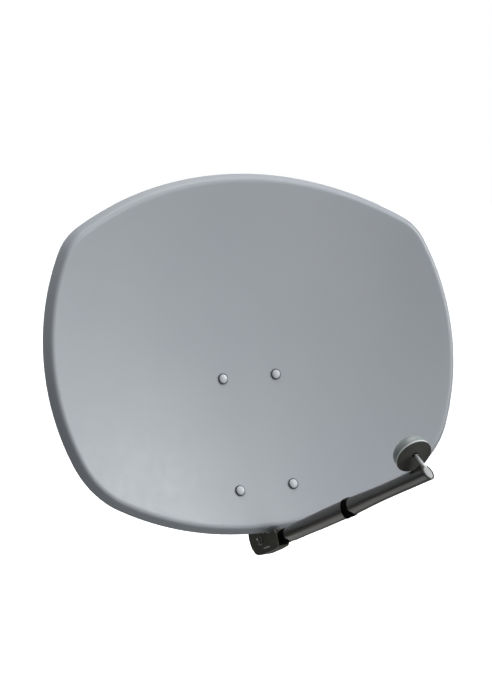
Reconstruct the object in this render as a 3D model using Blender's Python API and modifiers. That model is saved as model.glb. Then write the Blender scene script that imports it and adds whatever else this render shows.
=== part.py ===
"""Offset satellite dish on a mast clamp, as separate parts joined by real hinges and slides.

World frame: +Z runs up the mast, the dish faces -Y, and x = 0 is the plane of symmetry.
The origin is on the mast's axis, halfway up the clamp.

Three local frames carry the moving parts, each on an empty that sits on its hinge's axis:
  dish frame  x sideways, y backwards from the rim plane, z up the rim plane (leans back at rest)
  arm frame   x sideways, y backwards along the feed arm, z across the arm
  feed frame  x sideways, y from the reflector towards the arm's tip along the feed's axis
"""

import math

import bmesh
import bpy
from mathutils import Matrix, Vector

MM = 0.001
GAP = 0.3 * MM
BOWL_GAP = 0.75 * MM

# Reflector: a piece of a paraboloid behind a rounded rectangle
FOCAL_LENGTH = 483 * MM
EDGE_LOW = 6 * MM
EDGE_HIGH = 615 * MM
HALF_WIDTH = 410 * MM
HALF_HEIGHT = 320 * MM
WIDEST_Z = 3 * MM
TOP_RADIUS = 640 * MM
SIDE_RADIUS = 424 * MM
UPPER_CORNER = 90 * MM
LOWER_CORNER = 162 * MM
SHEET = 1.0 * MM
LIP_OUT = 16.3 * MM
LIP_BACK = 14.75 * MM
BOWL_RINGS = 8

# Where the reflector is bolted to its frame
BOLT_X = 56.4 * MM
BOLT_ROWS = (-44.4 * MM, -253.2 * MM)

# Elevation pivot, mast clamp and resting attitude
LEAN_BACK = math.radians(11.6)
PIVOT_DISH_Y = 105 * MM
PIVOT_DISH_Z = -150 * MM
PIVOT_Y = -88 * MM
LOCK_RADIUS = 50 * MM
TILT_RANGE = math.radians(21.5)
MAST_RADIUS = 24.15 * MM
CLAMP_BOLT_X = 54 * MM
CLAMP_Z = 52 * MM
CHEEK_X = 40 * MM
STEEL = 2.5 * MM

# Feed arm
ARM_PIVOT_Y = 40 * MM
ARM_PIVOT_Z = -353.5 * MM
ARM_RISE = math.radians(14.1)
ARM_DROP = 7.3 * MM
ARM_START = 17 * MM
ARM_TIP = 570 * MM
ARM_WALL = 1.5 * MM
ARM_WIDTH = 17 * MM
ROOT_DEPTH = 26 * MM
SHOE_HALF = 12 * MM
COLLAR_REAR = 77.5 * MM
COLLAR_FRONT = 316.5 * MM
COLLAR_LENGTH = 18.5 * MM
COLLAR_WALL = 1.2 * MM
TIP_SLANT = math.radians(23.6)
SHOE_WALL = 2.2 * MM
STOP_PIN = (-19.3 * MM, 11.2 * MM)
STOP_PIN_RADIUS = 2 * MM
TONGUE_HALF = 9.5 * MM

# Cable socket on the arm's far side
SOCKET_ALONG = 98 * MM
SOCKET_RADIUS = 4.6 * MM
SOCKET_LENGTH = 14 * MM
SOCKET_BORE = 2.9 * MM

# Feed head on its stem
FEED_Y = -486.1 * MM
FEED_Z = -194.0 * MM
FEED_DROP = 4.3 * MM
FEED_TILT = math.radians(40)
FEED_RADIUS = 30.3 * MM
FEED_DEPTH = 30 * MM
FEED_WALL = 2 * MM
STEM_RADIUS = 2.3 * MM
BUSH_WALL = 2 * MM

# Fasteners: M8 throughout
M8_RADIUS = 4 * MM
M8_FLATS = 13 * MM
NUT_HEIGHT = 6.5 * MM
DOME_RADIUS = 10.3 * MM
DOME_HEIGHT = 4.9 * MM
NECK = 8 * MM
FLANGE_RADIUS = 8.6 * MM

SIDEWAYS = (math.pi / 2, 0, math.pi / 2)


# ---------------------------------------------------------------- scene, materials, placing

def clear_scene():
    for obj in list(bpy.data.objects):
        bpy.data.objects.remove(obj)
    for name in ("satellite_dish", "cutters"):
        bpy.context.scene.collection.children.link(bpy.data.collections.new(name))


def material(name, colour, roughness, metallic=0.0):
    made = bpy.data.materials.new(name)
    made.use_nodes = True
    shader = made.node_tree.nodes["Principled BSDF"]
    shader.inputs["Base Color"].default_value = (*colour, 1)
    shader.inputs["Roughness"].default_value = roughness
    shader.inputs["Metallic"].default_value = metallic
    return made


def make_materials():
    return {
        "paint": material("dish_paint", (0.36, 0.40, 0.44), 0.42),
        "bracket": material("bracket_paint", (0.075, 0.08, 0.075), 0.5),
        "arm": material("arm_paint", (0.07, 0.072, 0.062), 0.38, 0.3),
        "zinc": material("zinc_plate", (0.62, 0.63, 0.64), 0.32, 1.0),
        "casting": material("cast_alloy", (0.42, 0.43, 0.43), 0.5, 0.9),
        "black": material("black_plastic", (0.012, 0.012, 0.012), 0.5),
        "dark": material("feed_back_plastic", (0.045, 0.047, 0.042), 0.55),
        "pale": material("feed_cover_plastic", (0.38, 0.43, 0.44), 0.4),
        "bright": material("bright_metal", (0.78, 0.79, 0.8), 0.28, 1.0),
        "board": material("board_green", (0.03, 0.16, 0.06), 0.5),
        "rubber": material("seal_rubber", (0.02, 0.02, 0.02), 0.8),
        "jacket": material("lead_jacket", (0.03, 0.03, 0.03), 0.6),
    }


def empty(name, parent, location, tilt):
    made = bpy.data.objects.new(name, None)
    made.empty_display_size = 0.05
    bpy.data.collections["satellite_dish"].objects.link(made)
    made.parent = parent
    made.location = location
    made.rotation_euler = (tilt, 0, 0)
    return made


def part(name, mesh, finish, parent=None, location=(0, 0, 0), rotation=(0, 0, 0), sharp=35):
    made = bpy.data.objects.new(name, mesh)
    bpy.data.collections["satellite_dish"].objects.link(made)
    made.parent = parent
    made.location = location
    made.rotation_euler = rotation
    if finish.name not in mesh.materials:
        mesh.materials.append(finish)
    mesh.shade_smooth()
    mesh.set_sharp_from_angle(angle=math.radians(sharp))
    return made


def tool(mesh, parent=None, location=(0, 0, 0), rotation=(0, 0, 0)):
    made = bpy.data.objects.new("tool", mesh)
    bpy.data.collections["cutters"].objects.link(made)
    made.parent = parent
    made.location = location
    made.rotation_euler = rotation
    made.hide_render = True
    made.display_type = "WIRE"
    return made


def combine(target, other, operation):
    change = target.modifiers.new(operation.lower(), "BOOLEAN")
    change.operation = operation
    change.object = other


# ---------------------------------------------------------------- meshes

def mesh_from(name, bm):
    mesh = bpy.data.meshes.new(name)
    bm.to_mesh(mesh)
    bm.free()
    return mesh


def box(size, centre=(0, 0, 0)):
    bm = bmesh.new()
    bmesh.ops.create_cube(bm, size=1, matrix=Matrix.LocRotScale(Vector(centre), None, Vector(size)))
    return mesh_from("box", bm)


def cylinder(radius, length, sides=20, along="Z", centre=(0, 0, 0)):
    turn = {"X": Matrix.Rotation(math.pi / 2, 4, "Y"), "Y": Matrix.Rotation(math.pi / 2, 4, "X"),
            "Z": Matrix.Identity(4)}[along]
    bm = bmesh.new()
    bmesh.ops.create_cone(bm, cap_ends=True, segments=sides, radius1=radius, radius2=radius,
                          depth=length, matrix=Matrix.Translation(centre) @ turn)
    return mesh_from("cylinder", bm)


def evaluated_mesh(obj):
    bpy.context.view_layer.update()
    mesh = bpy.data.meshes.new_from_object(obj.evaluated_get(bpy.context.evaluated_depsgraph_get()))
    bm = bmesh.new()
    bm.from_mesh(mesh)
    bmesh.ops.remove_doubles(bm, verts=bm.verts, dist=0.001 * MM)
    bmesh.ops.recalc_face_normals(bm, faces=bm.faces)
    bm.to_mesh(mesh)
    bm.free()
    return mesh


def baked(name, mesh, operations):
    """The mesh after Boolean operations, so that several objects can share it."""
    target = tool(mesh)
    for other, operation in operations:
        combine(target, tool(other), operation)
    result = evaluated_mesh(target)
    result.name = name
    for used in [change.object for change in target.modifiers] + [target]:
        bpy.data.objects.remove(used)
    return result


def flat_plate(name, loops, thickness):
    """A flat outline in x and y, thick along z; loops after the first are holes."""
    curve = bpy.data.curves.new(name, "CURVE")
    curve.dimensions = "2D"
    curve.fill_mode = "BOTH"
    curve.extrude = thickness / 2
    for loop in loops:
        spline = curve.splines.new("POLY")
        spline.points.add(len(loop) - 1)
        for point, (a, b) in zip(spline.points, loop):
            point.co = (a, b, 0, 1)
        spline.use_cyclic_u = True
    holder = bpy.data.objects.new(name, curve)
    bpy.data.collections["cutters"].objects.link(holder)
    mesh = evaluated_mesh(holder)
    mesh.name = name
    bpy.data.objects.remove(holder)
    return mesh


def turned(name, profile, steps=24):
    """A profile of (radius, height) points, listed down the outer side, turned about z."""
    bm = bmesh.new()
    points = [bm.verts.new((radius, 0, height)) for radius, height in profile]
    for first, second in zip(points, points[1:]):
        if first.co.x > 0 or second.co.x > 0:
            bm.edges.new((first, second))
    if profile[0][0] > 0:
        bm.edges.new((points[-1], points[0]))
    lathe = tool(mesh_from(name, bm))
    screw = lathe.modifiers.new("turn", "SCREW")
    screw.steps = steps
    screw.render_steps = steps
    screw.use_merge_vertices = True
    screw.merge_threshold = 0.002 * MM
    mesh = evaluated_mesh(lathe)
    mesh.name = name
    bpy.data.objects.remove(lathe)
    return mesh


def skin(name, rings, centre=None):
    """An open surface through rings of points, closed at the first ring by a fan if centre is given."""
    bm = bmesh.new()
    loops = [[bm.verts.new(point) for point in ring] for ring in rings]
    count = len(rings[0])
    for near, far in zip(loops, loops[1:]):
        for i in range(count):
            j = (i + 1) % count
            bm.faces.new((near[i], far[i], far[j], near[j]))
    if centre is not None:
        hub = bm.verts.new(centre)
        for i in range(count):
            bm.faces.new((hub, loops[0][i], loops[0][(i + 1) % count]))
    return mesh_from(name, bm)


def welded(mesh):
    """The mesh with its first and last ring made one."""
    bm = bmesh.new()
    bm.from_mesh(mesh)
    bmesh.ops.remove_doubles(bm, verts=bm.verts, dist=0.001 * MM)
    bm.to_mesh(mesh)
    bm.free()
    return mesh


def thicken(target, thickness):
    shell = target.modifiers.new("sheet", "SOLIDIFY")
    shell.thickness = thickness
    shell.offset = -1
    shell.use_even_offset = True


# ---------------------------------------------------------------- outlines

def arc(centre, radius, start, end, count):
    steps = [start + (end - start) * i / count for i in range(count + 1)]
    return [(centre[0] + radius * math.cos(a), centre[1] + radius * math.sin(a)) for a in steps]


def circle(centre, radius, count=20):
    return arc(centre, radius, 0, 2 * math.pi, count)[:-1]


def rounded(corners, radius, count=4):
    """A polygon whose corners are replaced by arcs of about the given radius."""
    outline = []
    for i, corner in enumerate(corners):
        here = Vector(corner)
        before = (Vector(corners[i - 1]) - here)
        after = (Vector(corners[(i + 1) % len(corners)]) - here)
        reach = min(radius, before.length / 2.01, after.length / 2.01)
        start = here + before.normalized() * reach
        end = here + after.normalized() * reach
        for k in range(count + 1):
            t = k / count
            outline.append(tuple(start * (1 - t) ** 2 + here * 2 * t * (1 - t) + end * t ** 2))
    return outline


def curved_slot(centre, radius, half_width, middle, spread, count=10):
    """A slot that follows an arc, with round ends."""
    first, last = middle - spread, middle + spread
    ends = [(centre[0] + radius * math.cos(a), centre[1] + radius * math.sin(a)) for a in (first, last)]
    outline = arc(centre, radius + half_width, first, last, count)
    outline += arc(ends[1], half_width, last, last + math.pi, 6)[1:-1]
    outline += arc(centre, radius - half_width, last, first, count)
    outline += arc(ends[0], half_width, first + math.pi, first + 2 * math.pi, 6)[1:-1]
    return outline


# ---------------------------------------------------------------- reflector geometry

def chord():
    """Middle and tilt of the rim plane in the paraboloid's own axes."""
    low = EDGE_LOW ** 2 / (4 * FOCAL_LENGTH)
    high = EDGE_HIGH ** 2 / (4 * FOCAL_LENGTH)
    middle = ((EDGE_LOW + EDGE_HIGH) / 2, (low + high) / 2)
    return middle, math.atan2(high - low, EDGE_HIGH - EDGE_LOW)


def bowl_y(x, z, behind=0.0):
    """How far the bowl's front surface lies behind the rim plane, in the dish frame."""
    (across, along), tilt = chord()
    cosine, sine = math.cos(tilt), math.sin(tilt)
    height = across + z * cosine
    a = sine ** 2
    b = -2 * height * sine - 4 * FOCAL_LENGTH * cosine
    c = x ** 2 + height ** 2 - 4 * FOCAL_LENGTH * (along + z * sine)
    return (b + math.sqrt(b * b - 4 * a * c)) / (2 * a) + behind


def bowl_normal(x, z):
    """Unit normal of the bowl's front surface, pointing out of the front."""
    step = 1 * MM
    slope_x = (bowl_y(x + step, z) - bowl_y(x - step, z)) / (2 * step)
    slope_z = (bowl_y(x, z + step) - bowl_y(x, z - step)) / (2 * step)
    return Vector((slope_x, -1, slope_z)).normalized()


def meeting_point(first, first_radius, second, second_radius, upper):
    """Where two circles cross, on the side asked for."""
    apart = Vector(second) - Vector(first)
    along = (first_radius ** 2 - second_radius ** 2 + apart.length ** 2) / (2 * apart.length)
    aside = math.sqrt(first_radius ** 2 - along ** 2)
    base = Vector(first) + apart.normalized() * along
    side = Vector((-apart.y, apart.x)).normalized() * aside
    points = [base + side, base - side]
    points.sort(key=lambda point: point.y)
    return points[1] if upper else points[0]


def angle_from(centre, point):
    return math.atan2(point[1] - centre[1], point[0] - centre[0])


def rim_outline():
    """Points round the reflecting edge, with the outward direction at each."""
    top = (0, HALF_HEIGHT - TOP_RADIUS)
    side = (HALF_WIDTH - SIDE_RADIUS, WIDEST_Z)
    bottom = (0, TOP_RADIUS - HALF_HEIGHT)
    upper = meeting_point(top, TOP_RADIUS - UPPER_CORNER, side, SIDE_RADIUS - UPPER_CORNER, True)
    lower = meeting_point(bottom, TOP_RADIUS - LOWER_CORNER, side, SIDE_RADIUS - LOWER_CORNER, False)
    turns = [math.pi / 2, angle_from(top, upper), angle_from(side, upper),
             angle_from(side, lower), angle_from(bottom, lower), -math.pi / 2]
    arcs = [(top, TOP_RADIUS, 7), (upper, UPPER_CORNER, 6), (side, SIDE_RADIUS, 9),
            (lower, LOWER_CORNER, 6), (bottom, TOP_RADIUS, 6)]
    right = []
    for k, (centre, radius, count) in enumerate(arcs):
        for i in range(count):
            turn = turns[k] + (turns[k + 1] - turns[k]) * i / count
            out = (math.cos(turn), math.sin(turn))
            right.append((centre[0] + radius * out[0], centre[1] + radius * out[1], out))
    foot = (0, -HALF_HEIGHT, (0, -1))
    left = [(-x, z, (-out[0], out[1])) for x, z, out in reversed(right[1:])]
    return right + [foot] + left


def square_hole():
    """Cutter for a carriage bolt's neck."""
    return box((NECK + 2 * GAP, NECK + 2 * GAP, 20 * MM))


def lip_profile():
    """The rolled edge, as distances outward and backward from the reflecting edge."""
    crest = [(0.10, -0.05), (0.20, -0.05), (0.33, 0.01), (0.43, 0.13)]
    draft = [(0.72, 0.55), (1.0, 1.0)]
    return [(out * LIP_OUT, back * LIP_BACK) for out, back in crest + draft]


def make_reflector(finish, dish):
    rim = list(reversed(rim_outline()))
    rings = []
    for k in range(1, BOWL_RINGS + 1):
        scale = k / BOWL_RINGS
        rings.append([(x * scale, bowl_y(x * scale, z * scale), z * scale) for x, z, _ in rim])
    for out, back in lip_profile():
        rings.append([(x + d[0] * out, bowl_y(x, z) + back, z + d[1] * out) for x, z, d in rim])
    bowl = part("reflector", skin("reflector", rings, (0, bowl_y(0, 0), 0)), finish, dish, sharp=60)
    thicken(bowl, SHEET)
    for _, location, rotation in bolt_places():
        combine(bowl, tool(square_hole(), dish, location, rotation), "DIFFERENCE")


def bolt_places(levels=("upper", "lower")):
    """Where the four bolts stand on the bowl: name, place and turn; z points out of the front."""
    places = []
    for level, z in zip(("upper", "lower"), BOLT_ROWS):
        for side, x in (("left", -BOLT_X), ("right", BOLT_X)):
            if level in levels:
                turn = bowl_normal(x, z).to_track_quat("Z", "Y").to_euler()
                places.append((level + "_" + side, (x, bowl_y(x, z), z), turn))
    return places


# ---------------------------------------------------------------- fasteners

def dome_bolt_mesh(length):
    """Carriage bolt: domed head above z = 0, square neck and plain shank below."""
    sphere = (DOME_RADIUS ** 2 + DOME_HEIGHT ** 2) / (2 * DOME_HEIGHT)
    reach = math.asin(DOME_RADIUS / sphere)
    dome = [(sphere * math.sin(reach * i / 4), DOME_HEIGHT - sphere * (1 - math.cos(reach * i / 4)))
            for i in range(5)]
    shank = [(M8_RADIUS, 0), (M8_RADIUS, 0.8 * MM - length), (M8_RADIUS - 0.8 * MM, -length), (0, -length)]
    neck = box((NECK, NECK, 2.8 * MM), (0, 0, -1.2 * MM))
    return baked("dome_bolt", turned("dome_bolt", dome + shank, 16), [(neck, "UNION")])


def hex_bolt_mesh(length):
    """Hexagon bolt along z: head above z = 0, plain shank below."""
    washer = [(0, 1.2 * MM), (8 * MM, 1.2 * MM), (FLANGE_RADIUS, 0), (M8_RADIUS, 0),
              (M8_RADIUS, 0.8 * MM - length), (M8_RADIUS - 0.8 * MM, -length), (0, -length)]
    head = cylinder(M8_FLATS / math.sqrt(3), 6.3 * MM, 6, centre=(0, 0, 3.2 * MM))
    return baked("hex_bolt", turned("hex_bolt", washer, 20), [(head, "UNION")])


def nut_mesh():
    """Hexagon nut with a flange, seated on z = 0 and standing up from it."""
    bore_radius = M8_RADIUS + GAP
    flange = [(7.9 * MM, 1.4 * MM), (bore_radius, 1.4 * MM), (bore_radius, 0), (FLANGE_RADIUS, 0)]
    hexagon = cylinder(M8_FLATS / math.sqrt(3), NUT_HEIGHT, 6, centre=(0, 0, NUT_HEIGHT / 2 + 0.4 * MM))
    bore = cylinder(bore_radius, 30 * MM, 16)
    ring = turned("flange_nut", flange, 16)
    return baked("flange_nut", ring, [(hexagon, "UNION"), (bore, "DIFFERENCE")])


def nut_seat(depth):
    """A nut pushed along the bolt to the given depth below the bolt's z = 0, facing away."""
    return Matrix.Translation((0, 0, -depth)) @ Matrix.Rotation(math.pi, 4, "X")


def place_on(location, rotation, local):
    made = Matrix.Translation(location) @ rotation.to_matrix().to_4x4() @ local
    return made.to_translation(), made.to_euler()


def make_reflector_bolts(finishes, dish, bolt, nut):
    """Each bolt clamps the sheet to the frame; the lower two clamp the arm hanger as well."""
    for name, location, rotation in bolt_places():
        stack = SHEET + STEEL + 2 * GAP
        if name.startswith("lower"):
            stack += STEEL + GAP
        seat = place_on(location, rotation, Matrix.Translation((0, 0, BOWL_GAP)))
        part("reflector_bolt_" + name, bolt, finishes["zinc"], dish, *seat)
        seat = place_on(location, rotation, nut_seat(stack + GAP))
        part("reflector_nut_" + name, nut, finishes["zinc"], dish, *seat)


# ---------------------------------------------------------------- frame behind the reflector

def pressed_pad(half_width, low, high, behind, columns=8, rows=8):
    """A sheet pressed to the bowl's shape, a set distance behind its front surface."""
    bm = bmesh.new()
    grid = []
    for i in range(rows + 1):
        z = low + (high - low) * i / rows
        row = []
        for k in range(columns + 1):
            x = half_width * (2 * k / columns - 1)
            row.append(bm.verts.new((x, bowl_y(x, z, behind), z)))
        grid.append(row)
    for lower, upper in zip(grid, grid[1:]):
        for k in range(columns):
            bm.faces.new((lower[k], lower[k + 1], upper[k + 1], upper[k]))
    return mesh_from("pressed_pad", bm)


def frame_cheek(x):
    """Side plate of the dish frame: pivot hole, elevation slot, front edge along the bowl."""
    inside = SHEET + GAP + STEEL / 2
    low, high = -226 * MM, -24 * MM
    front = [(bowl_y(x, low + (high - low) * i / 8, inside), low + (high - low) * i / 8) for i in range(9)]
    rear = [(62, -30), (108, -76), (118, -88), (122, -98), (122, -128), (131, -142), (131, -158),
            (122, -176), (62, -226)]
    outline = front + [(y * MM, z * MM) for y, z in rear]
    pivot = (PIVOT_DISH_Y, PIVOT_DISH_Z)
    slot = curved_slot(pivot, LOCK_RADIUS, M8_RADIUS + 0.5 * MM, math.pi / 2 + LEAN_BACK, TILT_RANGE)
    corners = [(58, -206), (53, -164), (83, -167), (81, -191)]
    window = rounded([(y * MM, z * MM) for y, z in corners], 8 * MM)
    hole = circle(pivot, M8_RADIUS + GAP)
    return flat_plate("frame_cheek", [outline, slot, window, hole], STEEL)


def make_dish_frame(finish, dish):
    pan = pressed_pad(78 * MM, -284 * MM, -14 * MM, SHEET + GAP)
    frame = part("dish_frame", pan, finish, dish)
    thicken(frame, STEEL)
    opening = box((56 * MM, 80 * MM, 150 * MM), (0, 40 * MM, -138 * MM))
    combine(frame, tool(opening, dish), "DIFFERENCE")
    for _, location, rotation in bolt_places():
        combine(frame, tool(square_hole(), dish, location, rotation), "DIFFERENCE")
    for side in (-1, 1):
        x = side * (CHEEK_X + STEEL / 2)
        combine(frame, tool(frame_cheek(CHEEK_X), dish, (x, 0, 0), SIDEWAYS), "UNION")


def make_arm_hanger(finish, dish):
    """T-shaped bracket under the two lower bolts, with the tongue that the feed arm hangs on."""
    behind = SHEET + STEEL + 2 * GAP
    foot = pressed_pad(72 * MM, -278 * MM, -230 * MM, behind, columns=10, rows=3)
    hanger = part("arm_hanger", foot, finish, dish)
    thicken(hanger, STEEL)
    for _, location, rotation in bolt_places(["lower"]):
        combine(hanger, tool(cylinder(6.6 * MM, 30 * MM), dish, location, rotation), "DIFFERENCE")
    pivot = (ARM_PIVOT_Y, ARM_PIVOT_Z)
    levels = [-234 * MM, -248 * MM, -262 * MM, -276 * MM]
    outline = [(bowl_y(0, z, behind + STEEL / 2), z) for z in levels] + [(27.5 * MM, -325 * MM)]
    outline += arc(pivot, 13 * MM, math.pi, 2 * math.pi, 10)
    outline += [(y * MM, z * MM) for y, z in [(56, -325), (54, -272), (40, -234)]]
    tongue = flat_plate("tongue", [outline, circle(pivot, M8_RADIUS + GAP)], 2 * TONGUE_HALF)
    combine(hanger, tool(tongue, dish, (0, 0, 0), SIDEWAYS), "UNION")
    pocket = [(0, -282), (0, -300), (12, -345), (25, -372), (60, -372), (50, -330), (50, -282)]
    pocket = flat_plate("pocket", [[(y * MM, z * MM) for y, z in pocket]], 2 * (TONGUE_HALF - STEEL))
    combine(hanger, tool(pocket, dish, (0, 0, 0), SIDEWAYS), "DIFFERENCE")


# ---------------------------------------------------------------- mast bracket and clamp

def make_mast_bracket(finish):
    """Back plate across the mast with two cheeks that carry the elevation pivot."""
    face_y = -36.5 * MM
    plate = box((2 * 68 * MM, STEEL, 150 * MM), (0, face_y + STEEL / 2, 0))
    bracket = part("mast_bracket", plate, finish)
    for x in (-CLAMP_BOLT_X, CLAMP_BOLT_X):
        for z in (-CLAMP_Z, CLAMP_Z):
            square = box((NECK + 2 * GAP, 20 * MM, NECK + 2 * GAP), (x, face_y, z))
            combine(bracket, tool(square), "DIFFERENCE")
    window = box((40 * MM, 20 * MM, 50 * MM), (0, face_y, 0))
    combine(bracket, tool(window), "DIFFERENCE")
    rear = face_y + STEEL / 2
    outline = [(rear, -68 * MM), (rear, 68 * MM), (-78 * MM, 68 * MM), (-100 * MM, 62 * MM),
               (-108 * MM, 30 * MM), (-112 * MM, -8 * MM), (-100 * MM, -24 * MM), (-72 * MM, -34 * MM)]
    holes = [circle((PIVOT_Y, z), M8_RADIUS + GAP) for z in (0, LOCK_RADIUS)]
    for side in (-1, 1):
        cheek = flat_plate("bracket_cheek", [outline] + holes, STEEL)
        x = side * (CHEEK_X - GAP - STEEL / 2)
        combine(bracket, tool(cheek, None, (x, 0, 0), SIDEWAYS), "UNION")


def jaw_mesh():
    """Toothed V block, 24 mm tall, with a bolt flange each side; the mast lies at y = 0."""
    apex = -MAST_RADIUS / math.sin(math.radians(60))
    slope = math.tan(math.radians(30))
    back = -34 * MM + GAP
    pitch = 4 * MM
    end = -CLAMP_BOLT_X - 10 * MM
    flange = [(end, back), (end, back + 5 * MM), (-37 * MM, back + 5 * MM)]
    teeth = [(-32 * MM, apex + 32 * MM * slope)]
    for k in range(8, 1, -1):
        x = k * pitch
        teeth.append((-x + 1.2 * MM, apex + x * slope - 1.9 * MM))
        teeth.append((-x + pitch, apex + (x - pitch) * slope))
    half = flange + teeth
    outline = half + [(-x, y) for x, y in reversed(half)]
    block = flat_plate("mast_jaw", [outline], 24 * MM)
    bores = []
    for x in (-CLAMP_BOLT_X, CLAMP_BOLT_X):
        bores.append((cylinder(M8_RADIUS + 0.5 * MM, 40 * MM, 16, "Y", (x, back, 0)), "DIFFERENCE"))
    return baked("mast_jaw", block, bores)


def make_mast_clamp(finishes, nut):
    jaw = jaw_mesh()
    bolt = dome_bolt_mesh(98 * MM)
    head_y = -36.5 * MM - GAP
    nut_y = 34 * MM
    for level, z in (("lower", -CLAMP_Z), ("upper", CLAMP_Z)):
        part("mast_seat_" + level, jaw, finishes["casting"], None, (0, 0, z))
        part("clamp_jaw_" + level, jaw, finishes["casting"], None, (0, 0, z), (0, 0, math.pi))
        for side, x in (("left", -CLAMP_BOLT_X), ("right", CLAMP_BOLT_X)):
            part("clamp_bolt_%s_%s" % (level, side), bolt, finishes["zinc"], None, (x, head_y, z),
                 (math.pi / 2, 0, 0))
            part("clamp_nut_%s_%s" % (level, side), nut, finishes["zinc"], None, (x, nut_y, z),
                 (-math.pi / 2, 0, 0))


def make_tilt_bolts(finishes, nut):
    """Pivot bolt and lock bolt, each through all four cheeks."""
    outer = CHEEK_X + STEEL + GAP
    bolt = hex_bolt_mesh(2 * outer + 12 * MM)
    for name, z in (("pivot", 0), ("lock", LOCK_RADIUS)):
        for kind, mesh, side in (("bolt", bolt, -1), ("nut", nut, 1)):
            part("tilt_%s_%s" % (name, kind), mesh, finishes["zinc"], None, (side * outer, PIVOT_Y, z),
                 (0, side * math.pi / 2, 0))


# ---------------------------------------------------------------- feed arm

def ease(start, end, value):
    t = min(max((value - start) / (end - start), 0), 1)
    return t * t * (3 - 2 * t)


def arm_section(along):
    """Width and depth of the oval tube at a distance from the pivot."""
    belly = 4.5 * MM * ease(70 * MM, 125 * MM, along) + 1.5 * MM * ease(150 * MM, 240 * MM, along)
    taper = 6.5 * MM * ease(300 * MM, 450 * MM, along)
    return ARM_WIDTH, ROOT_DEPTH + belly - taper


def oval(along, grow=0.0, slant=0.0, count=24, scale=1.0):
    """Points round the arm's oval section in the arm frame; slant leans the section back at the top."""
    width, depth = arm_section(along)
    ring = []
    for i in range(count):
        turn = 2 * math.pi * i / count
        x = (width / 2 * scale + grow) * math.cos(turn)
        z = (depth / 2 * scale + grow) * math.sin(turn)
        ring.append((x, -along + z * math.tan(slant), z - ARM_DROP))
    return ring


def make_arm_tube(finish, arm):
    stations = [ARM_START, 45 * MM, 70 * MM, 85 * MM, 98 * MM, 125 * MM, 180 * MM, 240 * MM,
                285 * MM, 320 * MM, 350 * MM, 385 * MM, 430 * MM, 500 * MM]
    rings = [oval(along) for along in stations + [ARM_TIP + 12 * MM]]
    tube = part("arm_tube", skin("arm_tube", list(reversed(rings))), finish, arm)
    thicken(tube, ARM_WALL)
    beyond = [oval(ARM_TIP + offset, slant=TIP_SLANT, scale=2) for offset in (0, 30 * MM)]
    combine(tube, tool(closed_loft("beyond", beyond), arm), "DIFFERENCE")
    socket_hole = cylinder(SOCKET_RADIUS + GAP, 12 * MM, 20, "X", (10 * MM, -SOCKET_ALONG, -ARM_DROP))
    combine(tube, tool(socket_hole, arm), "DIFFERENCE")


def make_collars(finish, arm):
    """Two black clips that wrap the arm."""
    for name, middle in (("rear", COLLAR_REAR), ("front", COLLAR_FRONT)):
        low, high = middle - COLLAR_LENGTH / 2, middle + COLLAR_LENGTH / 2
        bevel = 1 * MM
        thin = COLLAR_WALL / 2
        outer = [(low, thin), (low + bevel, COLLAR_WALL), (high - bevel, COLLAR_WALL), (high, thin)]
        inner = [(high, GAP), (middle, GAP), (low, GAP)]
        rings = [oval(along, grow) for along, grow in outer + inner + outer[:1]]
        part("arm_collar_" + name, welded(skin("arm_collar", list(reversed(rings)))), finish, arm)


def make_arm_shoe(finish, arm):
    """Channel that holds the tube's root and swings on the hanger's tongue."""
    corners = [(-66, -23), (-40, -25), (12, -25.2), (30, -21), (42, -7), (46, 8), (44, 27), (8, 27),
               (-21, 15), (-27, 9), (-40, 6), (-46, 9), (-66, 9)]
    side = rounded([(y * MM, z * MM) for y, z in corners], 9 * MM)
    hole = circle((0, 0), M8_RADIUS + GAP)
    pin_hole = circle(STOP_PIN, STOP_PIN_RADIUS, 12)
    shoe = part("arm_shoe", flat_plate("arm_shoe", [side, hole, pin_hole], 2 * SHOE_HALF), finish, arm,
                rotation=SIDEWAYS)
    floor = -20.8 * MM
    inner = [(-80 * MM, floor), (14 * MM, floor - 2 * MM), (22 * MM, -40 * MM), (80 * MM, -40 * MM),
             (80 * MM, 60 * MM), (-80 * MM, 60 * MM)]
    hollow = flat_plate("shoe_hollow", [inner], 2 * (SHOE_HALF - SHOE_WALL))
    combine(shoe, tool(hollow, arm, (0, 0, 0), SIDEWAYS), "DIFFERENCE")


def make_arm_fasteners(finishes, arm, nut):
    bolt = hex_bolt_mesh(2 * SHOE_HALF + 11 * MM)
    outer = SHOE_HALF + GAP
    part("arm_pivot_bolt", bolt, finishes["zinc"], arm, (-outer, 0, 0), (0, -math.pi / 2, 0))
    part("arm_pivot_nut", nut, finishes["zinc"], arm, (outer, 0, 0), (0, math.pi / 2, 0))
    pin = cylinder(STOP_PIN_RADIUS - 0.1 * MM, 2 * SHOE_HALF + 1 * MM, 16, "X")
    sleeve = cylinder(STOP_PIN_RADIUS + 1 * MM, 2 * (SHOE_HALF - SHOE_WALL - GAP), 16, "X")
    part("arm_stop_pin", baked("arm_stop_pin", pin, [(sleeve, "UNION")]), finishes["zinc"], arm,
         (0, *STOP_PIN))


def make_tube_plugs(finishes, arm):
    """Plug in the tube's root, and the insert at its tip that the stem's foot is pressed onto."""
    root = [oval(along, -ARM_WALL - GAP) for along in (ARM_START + 0.5 * MM, ARM_START + 9 * MM)]
    part("arm_root_plug", closed_loft("arm_root_plug", root), finishes["black"], arm)
    tip = [oval(ARM_TIP - 16 * MM, -ARM_WALL - GAP), oval(ARM_TIP - 0.5 * MM, -ARM_WALL - GAP, TIP_SLANT)]
    part("arm_tip_plug", closed_loft("arm_tip_plug", tip), finishes["black"], arm)


def closed_loft(name, rings):
    mesh = skin(name, list(reversed(rings)))
    bm = bmesh.new()
    bm.from_mesh(mesh)
    bmesh.ops.holes_fill(bm, edges=bm.edges)
    bmesh.ops.recalc_face_normals(bm, faces=bm.faces)
    bm.to_mesh(mesh)
    bm.free()
    return mesh


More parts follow.
